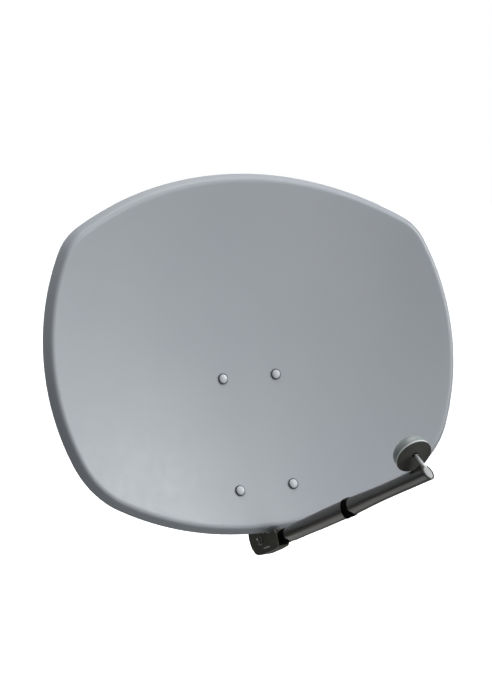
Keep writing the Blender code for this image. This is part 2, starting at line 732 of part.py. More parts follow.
def make_socket(finishes, arm):
    """Cable socket on the arm's far side, and its nut."""
    width, _ = arm_section(SOCKET_ALONG)
    place = (width / 2, -SOCKET_ALONG, -ARM_DROP)
    turn = (0, math.pi / 2, 0)
    inside = -3.5 * MM
    body = [(0, SOCKET_LENGTH), (SOCKET_RADIUS, SOCKET_LENGTH), (SOCKET_RADIUS + 0.1 * MM, -0.2 * MM),
            (SOCKET_RADIUS, inside), (0, inside)]
    hole = cylinder(SOCKET_BORE, 16 * MM, 16, centre=(0, 0, 11 * MM))
    socket = baked("cable_socket", turned("cable_socket", body, 20), [(hole, "DIFFERENCE")])
    part("cable_socket", socket, finishes["zinc"], arm, place, turn)
    hexagon = cylinder(6.6 * MM, 2.6 * MM, 6, centre=(0, 0, 1.9 * MM))
    bore = cylinder(SOCKET_RADIUS + GAP, 20 * MM, 20)
    nut = baked("socket_nut", hexagon, [(bore, "DIFFERENCE")])
    part("cable_socket_nut", nut, finishes["zinc"], arm, place, turn)


def make_inner_lead(finish, arm):
    """Lead inside the tube, from the socket to just behind the tip plug, as (x, distance) points."""
    route = [(2.6, SOCKET_ALONG / MM), (1.0, 104), (-1.5, 112), (-2.5, 130), (-2.5, 240), (-1.5, 400),
             (0, 530), (0, ARM_TIP / MM - 17)]
    curve = bpy.data.curves.new("inner_lead", "CURVE")
    curve.dimensions = "3D"
    curve.bevel_depth = 1.5 * MM
    curve.bevel_resolution = 2
    curve.use_fill_caps = True
    spline = curve.splines.new("POLY")
    spline.points.add(len(route) - 1)
    for point, (x, along) in zip(spline.points, route):
        point.co = (x * MM, -along * MM, -ARM_DROP, 1)
    lead = bpy.data.objects.new("inner_lead", curve)
    lead.data.materials.append(finish)
    bpy.data.collections["satellite_dish"].objects.link(lead)
    lead.parent = arm


# ---------------------------------------------------------------- feed head

def make_stem(finish, arm, feed):
    """Rod along the feed's axis, flattened into an oval foot that closes the arm's slanted end."""
    rod = cylinder(STEM_RADIUS, 36.4 * MM, 16, "Y", (0, 13.8 * MM, 0))
    stem = part("feed_stem", rod, finish, feed)
    inside = [oval(ARM_TIP + offset, slant=TIP_SLANT, scale=1.1) for offset in (-16 * MM, 0.5 * MM)]
    combine(stem, tool(closed_loft("inside", inside), arm), "DIFFERENCE")
    rings = [oval(ARM_TIP + 0.4 * MM, 0, TIP_SLANT), oval(ARM_TIP + 3 * MM, 0, TIP_SLANT)]
    combine(stem, tool(closed_loft("foot", rings), arm), "UNION")


def shell_profile():
    """Feed cover: a short straight wall, then a dome; open at the back."""
    straight = 13 * MM
    dome = FEED_DEPTH - straight
    inside = FEED_RADIUS - FEED_WALL
    count = 6
    quarter = [math.pi / 2 * i / count for i in range(count + 1)]
    outer = [(FEED_RADIUS * math.sin(a), straight + dome * math.cos(a)) for a in quarter]
    inner = [(inside * math.sin(a), straight + (dome - FEED_WALL) * math.cos(a)) for a in quarter]
    rim = [(FEED_RADIUS, 0.6 * MM), (FEED_RADIUS - 0.6 * MM, 0), (inside, 0)]
    return outer + rim + list(reversed(inner))


def disc(radius, low, high, bevel=0.0):
    """Profile of a disc between two heights, with its lower edge bevelled if asked."""
    edge = [(radius, low + bevel), (radius - bevel, low)] if bevel else [(radius, low)]
    return [(0, high), (radius, high)] + edge + [(0, low)]


def band(inner, outer, low, high):
    """Profile of a ring between two radii and two heights."""
    return [(outer, high), (outer, low), (inner, low), (inner, high)]


def horn_profile():
    """A cup that flares towards the reflector."""
    points = [(13.6, 24), (15, 24), (12, 10), (12, 7), (0, 7), (0, 10), (10.6, 10)]
    return [(radius * MM, height * MM) for radius, height in points]


def make_feed_head(finishes, feed):
    """Cover, back plate and what they hold; z of each turned part points at the reflector."""
    inner = FEED_RADIUS - FEED_WALL - GAP
    turned_parts = {
        "feed_cover": ("pale", shell_profile(), 36),
        "feed_back_plate": ("dark", disc(inner, 0.2 * MM, 3 * MM, 0.6 * MM), 40),
        "feed_seal": ("rubber", band(inner - 2 * MM, inner, 3.3 * MM, 4.6 * MM), 32),
        "feed_circuit_board": ("board", disc(inner - 1 * MM, 5 * MM, 6.6 * MM), 32),
        "feed_horn": ("casting", horn_profile(), 32),
    }
    made = {}
    for name, (finish, profile, steps) in turned_parts.items():
        made[name] = part(name, turned(name, profile, steps), finishes[finish], feed, (0, 0, FEED_DROP),
                          (math.pi / 2, 0, 0))
    bush_radius = STEM_RADIUS + BUSH_WALL
    hole = cylinder(bush_radius + GAP, 20 * MM, 20, "Y")
    combine(made["feed_back_plate"], tool(hole, feed), "DIFFERENCE")
    bush = band(STEM_RADIUS + GAP, bush_radius, -0.6 * MM, 4.6 * MM)
    part("stem_bush", turned("stem_bush", bush, 20), finishes["black"], feed, rotation=(math.pi / 2, 0, 0))
    probe = cylinder(0.8 * MM, 6 * MM, 10, "X", (2 * MM, 0, 0))
    part("feed_probe", probe, finishes["bright"], feed, (0, -16 * MM, FEED_DROP))


# ---------------------------------------------------------------- assembly

def build():
    clear_scene()
    finishes = make_materials()
    nut = nut_mesh()
    tilt = empty("tilt_axis", None, (0, PIVOT_Y, 0), -LEAN_BACK)
    dish = empty("dish_axes", tilt, (0, -PIVOT_DISH_Y, -PIVOT_DISH_Z), 0)
    arm = empty("arm_axis", dish, (0, ARM_PIVOT_Y, ARM_PIVOT_Z), -ARM_RISE)
    feed = empty("feed_axis", dish, (0, FEED_Y, FEED_Z), FEED_TILT - math.pi)

    make_reflector(finishes["paint"], dish)
    make_reflector_bolts(finishes, dish, dome_bolt_mesh(24 * MM), nut)
    make_dish_frame(finishes["bracket"], dish)
    make_arm_hanger(finishes["bracket"], dish)

    make_mast_bracket(finishes["bracket"])
    make_mast_clamp(finishes, nut)
    make_tilt_bolts(finishes, nut)

    make_arm_shoe(finishes["arm"], arm)
    make_arm_tube(finishes["arm"], arm)
    make_collars(finishes["black"], arm)
    make_tube_plugs(finishes, arm)
    make_arm_fasteners(finishes, arm, nut)
    make_socket(finishes, arm)
    make_inner_lead(finishes["jacket"], arm)

    make_stem(finishes["bright"], arm, feed)
    make_feed_head(finishes, feed)


build()
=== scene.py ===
"""Looks of the offset satellite dish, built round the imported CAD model.

Metres, +Z up the mast, the dish faces -Y. Most pieces are made in the frame of the dish, the
arm or the feed and then carried into the world frame. Every piece rides on its CAD body.
"""
import math

import bmesh
import bpy
from mathutils import Matrix, Vector


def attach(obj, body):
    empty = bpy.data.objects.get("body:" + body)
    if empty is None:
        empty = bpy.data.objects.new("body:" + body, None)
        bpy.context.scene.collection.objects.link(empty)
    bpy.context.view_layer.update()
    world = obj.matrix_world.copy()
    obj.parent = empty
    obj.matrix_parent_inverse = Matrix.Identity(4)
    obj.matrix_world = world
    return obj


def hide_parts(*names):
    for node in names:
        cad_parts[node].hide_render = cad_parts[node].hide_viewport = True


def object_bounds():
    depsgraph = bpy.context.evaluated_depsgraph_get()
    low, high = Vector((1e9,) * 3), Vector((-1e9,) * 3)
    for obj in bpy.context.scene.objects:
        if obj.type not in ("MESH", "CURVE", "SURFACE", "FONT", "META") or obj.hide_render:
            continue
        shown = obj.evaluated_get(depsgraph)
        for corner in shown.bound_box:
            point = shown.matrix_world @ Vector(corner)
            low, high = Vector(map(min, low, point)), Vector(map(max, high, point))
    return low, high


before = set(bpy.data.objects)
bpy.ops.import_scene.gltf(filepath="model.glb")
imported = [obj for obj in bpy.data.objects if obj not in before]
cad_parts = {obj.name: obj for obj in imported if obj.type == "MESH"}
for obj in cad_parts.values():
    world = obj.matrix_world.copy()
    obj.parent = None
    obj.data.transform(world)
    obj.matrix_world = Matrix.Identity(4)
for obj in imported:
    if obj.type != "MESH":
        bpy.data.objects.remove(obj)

CAD_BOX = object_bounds()

MM = 0.001
GAP = 0.3 * MM
BOWL_GAP = 0.75 * MM

SIDE_SIGNS = {"left": -1, "right": 1}
# Sides of turned shapes, and the radius that closes a turned profile at its axis
SIDES = 48
FEED_SIDES = 72
SOCKET_SIDES = 32
THREAD_SIDES = 20
AXIS = 0.02 * MM

# Reflector: a piece of a paraboloid behind a rounded rectangle
FOCAL_LENGTH = 483 * MM
EDGE_LOW = 6 * MM
EDGE_HIGH = 615 * MM
HALF_WIDTH = 410 * MM
HALF_HEIGHT = 320 * MM
WIDEST_Z = 3 * MM
TOP_RADIUS = 640 * MM
SIDE_RADIUS = 424 * MM
UPPER_CORNER = 90 * MM
LOWER_CORNER = 162 * MM
SHEET = 1.0 * MM
LIP_OUT = 16.3 * MM
LIP_BACK = 14.75 * MM
LIP_INSET = 4 * MM
# Section of the rolled edge: shares of LIP_OUT and LIP_BACK, from the bowl to the hem
LIP_SECTION = [(-LIP_INSET / LIP_OUT, 0), (-0.12, 0.008), (0, 0.03), (0.12, 0.034), (0.245, 0.064),
               (0.37, 0.15), (0.49, 0.285), (0.72, 0.60), (0.97, 0.95)]
HEM_RADIUS = 1.5 * MM
BOWL_RINGS = 40

BOLT_X = 56.4 * MM
BOLT_ROWS = (-44.4 * MM, -253.2 * MM)

# Elevation pivot, mast clamp and resting attitude
LEAN_BACK = math.radians(11.6)
PIVOT_DISH_Y = 105 * MM
PIVOT_DISH_Z = -150 * MM
PIVOT_Y = -88 * MM
LOCK_RADIUS = 50 * MM
CLAMP_BOLT_X = 54 * MM
CLAMP_Z = 52 * MM
CHEEK_X = 40 * MM
STEEL = 2.5 * MM
PLATE_Y = -36.5 * MM
JAW_FACE_Y = 34 * MM
WELD_LOW = -30 * MM
WELD_HIGH = 66 * MM
WELD_RADIUS = 1.9 * MM

# Feed arm
ARM_PIVOT_Y = 40 * MM
ARM_PIVOT_Z = -353.5 * MM
ARM_RISE = math.radians(14.1)
ARM_DROP = 7.3 * MM
ARM_START = 17 * MM
ARM_TIP = 570 * MM
ARM_WALL = 1.5 * MM
ARM_WIDTH = 17 * MM
ROOT_DEPTH = 26 * MM
SHOE_HALF = 12 * MM
COLLAR_REAR = 77.5 * MM
COLLAR_FRONT = 316.5 * MM
COLLAR_LENGTH = 18.5 * MM
COLLAR_WALL = 1.2 * MM
COLLAR_TAIL = 10 * MM
TIP_SLANT = math.radians(23.6)
# Saddles on top of the tube: where each starts, and (distance on from there, rise) in millimetres
TIP_HOOD_START = ARM_TIP - 24 * MM
TIP_RISES = [(0, 0.3), (2, 1.6), (8, 2.5), (16, 2.6), (22, 2.6), (23.4, 2.2), (24, 1.4)]
ROOT_SADDLE_START = 46 * MM
ROOT_RISES = [(0, 0.3), (2, 3), (6, 4.5), (14, 4.6), (20, 4.4), (21.5, 3.5), (22.1, 2.5)]
SHOE_RIB_LENGTH = 27 * MM
SHOE_RIB_RADIUS = 1.5 * MM
SHOE_CORNER = 6 * MM
SOCKET_ALONG = 98 * MM
SOCKET_RADIUS = 4.6 * MM
SOCKET_LENGTH = 14 * MM
SOCKET_BORE = 2.9 * MM
SOCKET_PITCH = 0.8 * MM
SOCKET_THREAD = 0.35 * MM

# Feed head on its stem
FEED_Y = -486.1 * MM
FEED_Z = -194.0 * MM
FEED_DROP = 4.3 * MM
FEED_TILT = math.radians(40)
FEED_RADIUS = 30.3 * MM
FEED_DEPTH = 30 * MM
COVER_WALL = 13 * MM
FEED_WALL = 2 * MM
DISC_EDGE = 1.5 * MM
STEM_RADIUS = 2.3 * MM

# Fasteners
M8_RADIUS = 4 * MM
M8_FLATS = 13 * MM
M8_PITCH = 1.25 * MM
THREAD_DEPTH = 0.6 * MM
NUT_HEIGHT = 6.9 * MM
DOME_RADIUS = 8.5 * MM
WASHER_RADIUS = 10.3 * MM
WASHER_HEIGHT = 1.3 * MM
DOME_HEIGHT = 4.4 * MM
DOME_SAG = 1.5 * MM
FLANGE_RADIUS = 8.6 * MM
DISH_BOLT_LENGTH = 24 * MM
MAST_BOLT_LENGTH = 98 * MM

# Stage, light and camera
FLOOR_DROP = 0.75
FLOOR_RADIUS = 30
BACKDROP_RADIUS = 28
FLOOR_SUN = 3.4
FLOOR_SUN_ANGLE = math.radians(50)
# Brightness of the surround from straight below (0) over the horizon (0.5) to straight above (1)
SKY_STOPS = [(0, 0.26), (0.26, 0.24), (0.36, 0.05), (0.50, 0.06), (0.56, 0.12), (0.72, 0.26), (1, 0.60)]
# Softboxes: place from the middle of the dish, size and watts
SOFTBOXES = {
    "key": ((3.0, -2.0, 1.7), (2.0, 2.0), 100),
    "top": ((0.2, -0.2, 2.6), (2.6, 1.6), 34),
    "front": ((1.0, -3.3, -0.4), (1.8, 1.4), 24),
    "back": ((1.6, 3.4, 1.2), (2.0, 2.0), 40),
    "rim": ((-1.3, 1.45, -2.4), (2.0, 1.8), 11),
}
LENS = 73
SENSOR = 36
SHIFT = (-0.0172, 0.0022)
AZIMUTH = math.radians(28.313)
ELEVATION = math.radians(8.777)
DISTANCE = 2.64

DISH = (Matrix.Translation((0, PIVOT_Y, 0)) @ Matrix.Rotation(-LEAN_BACK, 4, "X")
        @ Matrix.Translation((0, -PIVOT_DISH_Y, -PIVOT_DISH_Z)))
ARM = DISH @ Matrix.Translation((0, ARM_PIVOT_Y, ARM_PIVOT_Z)) @ Matrix.Rotation(-ARM_RISE, 4, "X")
FEED = DISH @ Matrix.Translation((0, FEED_Y, FEED_Z)) @ Matrix.Rotation(FEED_TILT - math.pi, 4, "X")
HEAD = FEED @ Matrix.Translation((0, 0, FEED_DROP)) @ Matrix.Rotation(math.pi / 2, 4, "X")


# ---------------------------------------------------------------- shader building blocks

class Finish:
    """A Principled material and the nodes that vary it."""

    def __init__(self, name, **values):
        self.made = bpy.data.materials.new(name)
        self.made.use_nodes = True
        self.tree = self.made.node_tree
        self.shader = self.tree.nodes["Principled BSDF"]
        for socket, value in values.items():
            self.shader.inputs[socket.replace("_", " ")].default_value = value
        self.place = self.node("ShaderNodeTexCoord").outputs["Object"]

    def node(self, kind, **settings):
        made = self.tree.nodes.new(kind)
        for key, value in settings.items():
            setattr(made, key, value)
        return made

    def put(self, value, socket):
        """Links a node's output to a socket, or sets the socket to a plain value."""
        if isinstance(value, bpy.types.NodeSocket):
            self.tree.links.new(value, socket)
        else:
            socket.default_value = value

    def fill(self, made, **values):
        """Sets or links the inputs of a node by name."""
        for key, value in values.items():
            self.put(value, made.inputs[key.replace("_", " ")])

    def stretched(self, turn, scale):
        """Coordinates turned about x and scaled, for grain that runs one way."""
        mapping = self.node("ShaderNodeMapping", vector_type="TEXTURE")
        self.fill(mapping, Vector=self.place, Rotation=(turn, 0, 0), Scale=scale)
        return mapping.outputs["Vector"]

    def noise(self, scale, detail=3.0, roughness=0.55, distortion=0.0, vector=None):
        made = self.node("ShaderNodeTexNoise")
        self.fill(made, Vector=vector or self.place, Scale=scale, Detail=detail, Roughness=roughness,
                  Distortion=distortion)
        return made.outputs["Fac"]

    def cells(self, scale):
        made = self.node("ShaderNodeTexVoronoi")
        self.fill(made, Vector=self.place, Scale=scale)
        return made.outputs["Color"]

    def spread(self, value, low, high, start=0.3, end=0.7):
        """Maps a texture from start..end to low..high."""
        made = self.node("ShaderNodeMapRange")
        for socket, number in zip(("From Min", "From Max", "To Min", "To Max"), (start, end, low, high)):
            made.inputs[socket].default_value = number
        self.tree.links.new(value, made.inputs["Value"])
        return made.outputs["Result"]

    def blend(self, factor, first, second):
        """Mixes two colours; the node keeps its colour sockets at 6 and 7."""
        made = self.node("ShaderNodeMix", data_type="RGBA")
        for index, value in ((0, factor), (6, first), (7, second)):
            self.put(value, made.inputs[index])
        return made.outputs[2]

    def add(self, first, second):
        made = self.node("ShaderNodeMath", operation="ADD")
        self.put(first, made.inputs[0])
        self.put(second, made.inputs[1])
        return made.outputs[0]

    def bumps(self, *layers):
        """Bump layers of (height, strength, distance), one on another."""
        normal = None
        for height, strength, distance in layers:
            made = self.node("ShaderNodeBump")
            self.fill(made, Height=height, Strength=strength, Distance=distance)
            if normal:
                self.tree.links.new(normal, made.inputs["Normal"])
            normal = made.outputs["Normal"]
        self.tree.links.new(normal, self.shader.inputs["Normal"])

    def link(self, **values):
        self.fill(self.shader, **values)


def colour(red, green, blue):
    return (red, green, blue, 1)


def painted_sheet(name, shade, light, roughness, peel=0.16, **values):
    """Powder paint: cloudy tone, faint dark specks, orange peel."""
    paint = Finish(name, **values)
    cloud = paint.noise(3.5, 4)
    fine = paint.noise(70, 3)
    tone = paint.blend(paint.spread(cloud, 0, 1), colour(*shade), colour(*light))
    speck = paint.spread(paint.noise(1500, 2), 0, 0.10, 0.55, 0.75)
    tone = paint.blend(speck, tone, colour(*[c * 0.55 for c in shade]))
    paint.link(Base_Color=tone, Roughness=paint.spread(fine, roughness - 0.05, roughness + 0.06))
    paint.bumps((paint.noise(420, 2), peel, 0.2 * MM), (paint.noise(9, 2), 0.05, 2 * MM))
    return paint.made


def arm_paint():
    """Satin olive-grey over a drawn tube: streaks run along the arm."""
    paint = Finish("satin_arm", Metallic=0.25, Coat_Weight=0.35, Coat_Roughness=0.3)
    along = paint.stretched(-ARM_RISE - LEAN_BACK, (1, 30, 1))
    streak = paint.noise(520, 3, vector=along)
    cloud = paint.noise(14, 4)
    tone = paint.blend(paint.spread(cloud, 0, 1), colour(0.049, 0.049, 0.041),
                       colour(0.061, 0.054, 0.039))
    tone = paint.blend(paint.spread(streak, 0, 0.4), tone, colour(0.032, 0.031, 0.025))
    rough = paint.add(paint.spread(streak, 0.25, 0.40), paint.spread(cloud, -0.03, 0.03))
    paint.link(Base_Color=tone, Roughness=rough)
    paint.bumps((streak, 0.25, 0.12 * MM), (paint.noise(900, 2), 0.10, 0.1 * MM))
    return paint.made


def shoe_paint():
    """Darker grey-green paint on the pressed shoe, with random lighter brown patches of painted light.
    """
    paint = Finish("shoe_paint")
    cloud = paint.noise(45, 5, 0.6)
    # Painted light: random lighter brown patches stand in for the lit brownish tone at the shoe's lower
    # end.
    painted_light_patches = paint.spread(paint.noise(28, 5, 0.65, 0.4), 0, 0.6, 0.55, 0.72)
    tone = paint.blend(paint.spread(cloud, 0, 1), colour(0.060, 0.063, 0.050),
                       colour(0.088, 0.086, 0.068))
    tone = paint.blend(painted_light_patches, tone, colour(0.13, 0.095, 0.07))
    paint.link(Base_Color=tone, Roughness=paint.spread(cloud, 0.36, 0.52))
    paint.bumps((paint.noise(700, 3), 0.2, 0.15 * MM), (cloud, 0.15, 0.5 * MM))
    return paint.made


def plated(name, base, roughness, metallic=1.0, grain=900):
    """Zinc or polished metal: small crystals differ in tone, over a fine grain."""
    metal = Finish(name, Metallic=metallic)
    crystal = metal.node("ShaderNodeSeparateColor")
    metal.tree.links.new(metal.cells(grain), crystal.inputs[0])
    stain = metal.noise(120, 4)
    tone = metal.blend(metal.spread(crystal.outputs[0], 0, 0.35, 0, 1), colour(*base),
                       colour(*[c * 0.8 for c in base]))
    tone = metal.blend(metal.spread(stain, 0, 0.3, 0.5, 0.75), tone, colour(*[c * 0.6 for c in base]))
    metal.link(Base_Color=tone, Roughness=metal.spread(stain, roughness - 0.05, roughness + 0.12))
    metal.bumps((metal.noise(1600, 2), 0.12, 0.05 * MM), (stain, 0.06, 0.3 * MM))
    return metal.made


def cast_alloy():
    """Sand-rough die casting with duller hollows."""
    metal = Finish("cast_alloy_finish", Metallic=0.9)
    sand = metal.noise(650, 5, 0.7)
    stain = metal.noise(60, 4)
    tone = metal.blend(metal.spread(stain, 0, 1), colour(0.44, 0.45, 0.45), colour(0.30, 0.31, 0.31))
    metal.link(Base_Color=tone, Roughness=metal.spread(sand, 0.42, 0.66))
    metal.bumps((sand, 0.45, 0.25 * MM), (stain, 0.1, 0.6 * MM))
    return metal.made


def moulded(name, shade, light, roughness, grain=1300, strength=0.25, **values):
    """Moulded plastic with a spark-eroded grain and slight clouding."""
    plastic = Finish(name, **values)
    texture = plastic.noise(grain, 3, 0.6)
    cloud = plastic.noise(55, 4)
    tone = plastic.blend(plastic.spread(cloud, 0, 1), colour(*shade), colour(*light))
    plastic.link(Base_Color=tone, Roughness=plastic.spread(texture, roughness - 0.06, roughness + 0.08))
    plastic.bumps((texture, strength, 0.12 * MM), (cloud, 0.08, 0.5 * MM))
    return plastic.made


def circuit_board():
    """Green solder mask over copper islands."""
    board = Finish("board_mask", Coat_Weight=0.4)
    island = board.node("ShaderNodeSeparateColor")
    board.tree.links.new(board.cells(260), island.inputs[0])
    copper = board.spread(island.outputs[0], 0, 1, 0.62, 0.66)
    tone = board.blend(copper, colour(0.02, 0.13, 0.05), colour(0.05, 0.22, 0.08))
    board.link(Base_Color=tone, Roughness=board.spread(board.noise(400), 0.35, 0.5))
    board.bumps((copper, 0.3, 0.1 * MM))
    return board.made


def make_finishes():
    return {
        "paint": painted_sheet("reflector_powder", (0.345, 0.372, 0.403), (0.368, 0.394, 0.422), 0.42,
                               Coat_Weight=0.1, Coat_Roughness=0.3),
        "bracket": painted_sheet("bracket_powder", (0.058, 0.062, 0.058), (0.075, 0.079, 0.073), 0.44,
                                 0.3),
        "arm": arm_paint(),
        "shoe": shoe_paint(),
        "zinc": plated("zinc_plated", (0.66, 0.68, 0.71), 0.33),
        "dome": plated("zinc_dome", (0.53, 0.56, 0.59), 0.45, 0.15, 500),
        "dull": plated("dull_bolt", (0.30, 0.31, 0.30), 0.30),
        # Pale finish on the shoe ribs: a painted highlight line along each rib.
        "rib_highlight": plated("rib_painted_highlight", (0.50, 0.50, 0.45), 0.4, 0.2),
        "stem": plated("polished_stem", (0.66, 0.68, 0.68), 0.42, 0.1, 1400),
        # Dark washer colour: a seal ring, and painted shade as the dark ring round each dome head.
        "washer": moulded("washer_painted_shade", (0.045, 0.047, 0.05), (0.06, 0.063, 0.067), 0.6),
        "bright": plated("bright_stem", (0.42, 0.43, 0.43), 0.42, 0.1, 1400),
        "casting": cast_alloy(),
        "black": moulded("black_nylon", (0.002, 0.002, 0.002), (0.0035, 0.0035, 0.0035), 0.72,
                         Specular_IOR_Level=0.02),
        "dark": moulded("feed_back_moulded", (0.063, 0.065, 0.057), (0.073, 0.075, 0.066), 0.62,
                        Specular_IOR_Level=0.3),
        "pale": moulded("feed_cover_moulded", (0.25, 0.29, 0.285), (0.28, 0.32, 0.31), 0.38, 1100, 0.15,
                        Coat_Weight=0.2, Coat_Roughness=0.2),
        # Pale bead colour: a painted highlight line round the feed cover's rim.
        "bead": moulded("feed_rim_painted_highlight", (0.66, 0.69, 0.69), (0.70, 0.73, 0.72), 0.30, 1100, 0.1),
        "rubber": moulded("seal_moulded", (0.018, 0.018, 0.018), (0.028, 0.028, 0.028), 0.75, 900, 0.4),
        "jacket": moulded("lead_moulded", (0.03, 0.03, 0.03), (0.042, 0.042, 0.042), 0.55, 1500, 0.3),
        "board": circuit_board(),
    }


# ---------------------------------------------------------------- mesh building blocks

def mesh_from(name, bm):
    bmesh.ops.remove_doubles(bm, verts=bm.verts, dist=0.0005 * MM)
    bmesh.ops.recalc_face_normals(bm, faces=bm.faces)
    mesh = bpy.data.meshes.new(name)
    bm.to_mesh(mesh)
    bm.free()
    return mesh


def weave(bm, rings):
    """Quads between closed rings of points; returns the rings' vertices."""
    loops = [[bm.verts.new(point) for point in ring] for ring in rings]
    count = len(rings[0])
    for near, far in zip(loops, loops[1:]):
        for i in range(count):
            j = (i + 1) % count
            bm.faces.new((near[i], far[i], far[j], near[j]))
    return loops


def solid_loft(bm, rings):
    """A closed body through rings, capped at both ends."""
    loops = weave(bm, rings)
    bm.faces.new(loops[0])
    bm.faces.new(list(reversed(loops[-1])))


def hollow_loft(bm, rings):
    """A closed body through rings whose last ring meets the first, like a tube or washer."""
    weave(bm, rings + [rings[0]])


def ring_at(radius, height, sides):
    """A ring about z; radius is a number or a function of the angle."""
    ring = []
    for i in range(sides):
        turn = 2 * math.pi * i / sides
        reach = radius(turn) if callable(radius) else radius
        ring.append((reach * math.cos(turn), reach * math.sin(turn), height))
    return ring


def turned(bm, profile, sides=SIDES, hollow=False):
    """A profile of (radius, height) points turned about z."""
    rings = [ring_at(radius, height, sides) for radius, height in profile]
    (hollow_loft if hollow else solid_loft)(bm, rings)


def lofted_mesh(name, rings, hollow=False):
    bm = bmesh.new()
    (hollow_loft if hollow else solid_loft)(bm, rings)
    return mesh_from(name, bm)


def turned_mesh(name, profile, sides=SIDES, hollow=False):
    bm = bmesh.new()
    turned(bm, profile, sides, hollow)
    return mesh_from(name, bm)


def hexagon(flats, limit=None):
    """Radius of a hexagon at an angle, cut back to a circle for a chamfer."""
    def reach(turn):
        aside = (turn + math.pi / 6) % (math.pi / 3) - math.pi / 6
        corner = flats / 2 / math.cos(aside)
        return min(corner, limit) if limit else corner
    return reach


def helix(height, turn, pitch):
    """Triangle wave from 0 to 1 that climbs one pitch in each turn."""
    return abs(((height / pitch + turn / (2 * math.pi)) % 1) * 2 - 1)


def m8_thread(bm, start, end):
    """A threaded rod along z, from start down to end, with a chamfered tip."""
    tip = end + THREAD_DEPTH
    count = max(2, round((start - tip) / (M8_PITCH / 4)))
    rings = []
    for k in range(count + 1):
        height = start + (tip - start) * k / count

        def reach(turn, height=height):
            wave = helix(height, turn, M8_PITCH)
            return M8_RADIUS - THREAD_DEPTH * min(max(1.5 * wave - 0.25, 0), 1)
        rings.append(ring_at(reach, height, THREAD_SIDES))
    rings.append(ring_at(M8_RADIUS - 1.4 * THREAD_DEPTH, end, THREAD_SIDES))
    solid_loft(bm, rings)


def smoothed(points, steps):
    """A smooth curve through points, steps to each stretch."""
    curve = []
    last = len(points) - 1
    for i in range(last):
        a, b, c, d = (Vector(points[min(max(k, 0), last)]) for k in (i - 1, i, i + 1, i + 2))
        for k in range(steps):
            t = k / steps
            curve.append(0.5 * ((2 * b) + (c - a) * t + (2 * a - 5 * b + 4 * c - d) * t ** 2
                                + (3 * b - a - 3 * c + d) * t ** 3))
    curve.append(Vector(points[-1]))
    return curve


def arc(centre, radius, start, end, count):
    steps = [start + (end - start) * i / count for i in range(count + 1)]
    return [(centre[0] + radius * math.cos(a), centre[1] + radius * math.sin(a)) for a in steps]


def piece(name, mesh, finish, body, nodes=(), place=None, sharp=35):
    """A finished mesh that rides on a body and stands for CAD nodes."""
    if place is not None:
        mesh.transform(place)
    mesh.materials.append(finish)
    mesh.shade_smooth()
    mesh.set_sharp_from_angle(angle=math.radians(sharp))
    made = bpy.data.objects.new(name, mesh)
    bpy.context.scene.collection.objects.link(made)
    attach(made, body)
    if nodes:
        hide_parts(*nodes)
    return made


def rounded_edges(made, width):
    edge = made.modifiers.new("edge", "BEVEL")
    edge.width = width
    edge.segments = 2
    edge.limit_method = "ANGLE"
    edge.angle_limit = math.radians(30)
    edge.use_clamp_overlap = True
    edge.harden_normals = True
    return made


def refined(name, node, finish, body, width=0.6 * MM, soften=None):
    """The CAD node's own shape with its flat faces joined up and its edges rounded."""
    bm = bmesh.new()
    bm.from_mesh(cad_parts[node].data)
    bmesh.ops.remove_doubles(bm, verts=bm.verts, dist=0.01 * MM)
    bmesh.ops.dissolve_limit(bm, angle_limit=math.radians(1.5), verts=bm.verts, edges=bm.edges)
    if soften:
        soften(bm)
    return rounded_edges(piece(name, mesh_from(name, bm), finish, body, [node]), width)


# ---------------------------------------------------------------- reflector

def chord():
    low = EDGE_LOW ** 2 / (4 * FOCAL_LENGTH)
    high = EDGE_HIGH ** 2 / (4 * FOCAL_LENGTH)
    middle = ((EDGE_LOW + EDGE_HIGH) / 2, (low + high) / 2)
    return middle, math.atan2(high - low, EDGE_HIGH - EDGE_LOW)


def bowl_y(x, z):
    """How far the bowl's front surface lies behind the rim plane, in the dish frame."""
    (across, along), tilt = chord()
    cosine, sine = math.cos(tilt), math.sin(tilt)
    height = across + z * cosine
    a = sine ** 2
    b = -2 * height * sine - 4 * FOCAL_LENGTH * cosine
    c = x ** 2 + height ** 2 - 4 * FOCAL_LENGTH * (along + z * sine)
    return (b + math.sqrt(b * b - 4 * a * c)) / (2 * a)


def bowl_normal(x, z):
    step = 1 * MM
    slope_x = (bowl_y(x + step, z) - bowl_y(x - step, z)) / (2 * step)
    slope_z = (bowl_y(x, z + step) - bowl_y(x, z - step)) / (2 * step)
    return Vector((slope_x, -1, slope_z)).normalized()


def meeting_point(first, first_radius, second, second_radius, upper):
    apart = Vector(second) - Vector(first)
    along = (first_radius ** 2 - second_radius ** 2 + apart.length ** 2) / (2 * apart.length)
    aside = math.sqrt(first_radius ** 2 - along ** 2)
    base = Vector(first) + apart.normalized() * along
    side = Vector((-apart.y, apart.x)).normalized() * aside
    points = sorted([base + side, base - side], key=lambda point: point.y)
    return points[1] if upper else points[0]


def angle_from(centre, point):
    return math.atan2(point[1] - centre[1], point[0] - centre[0])


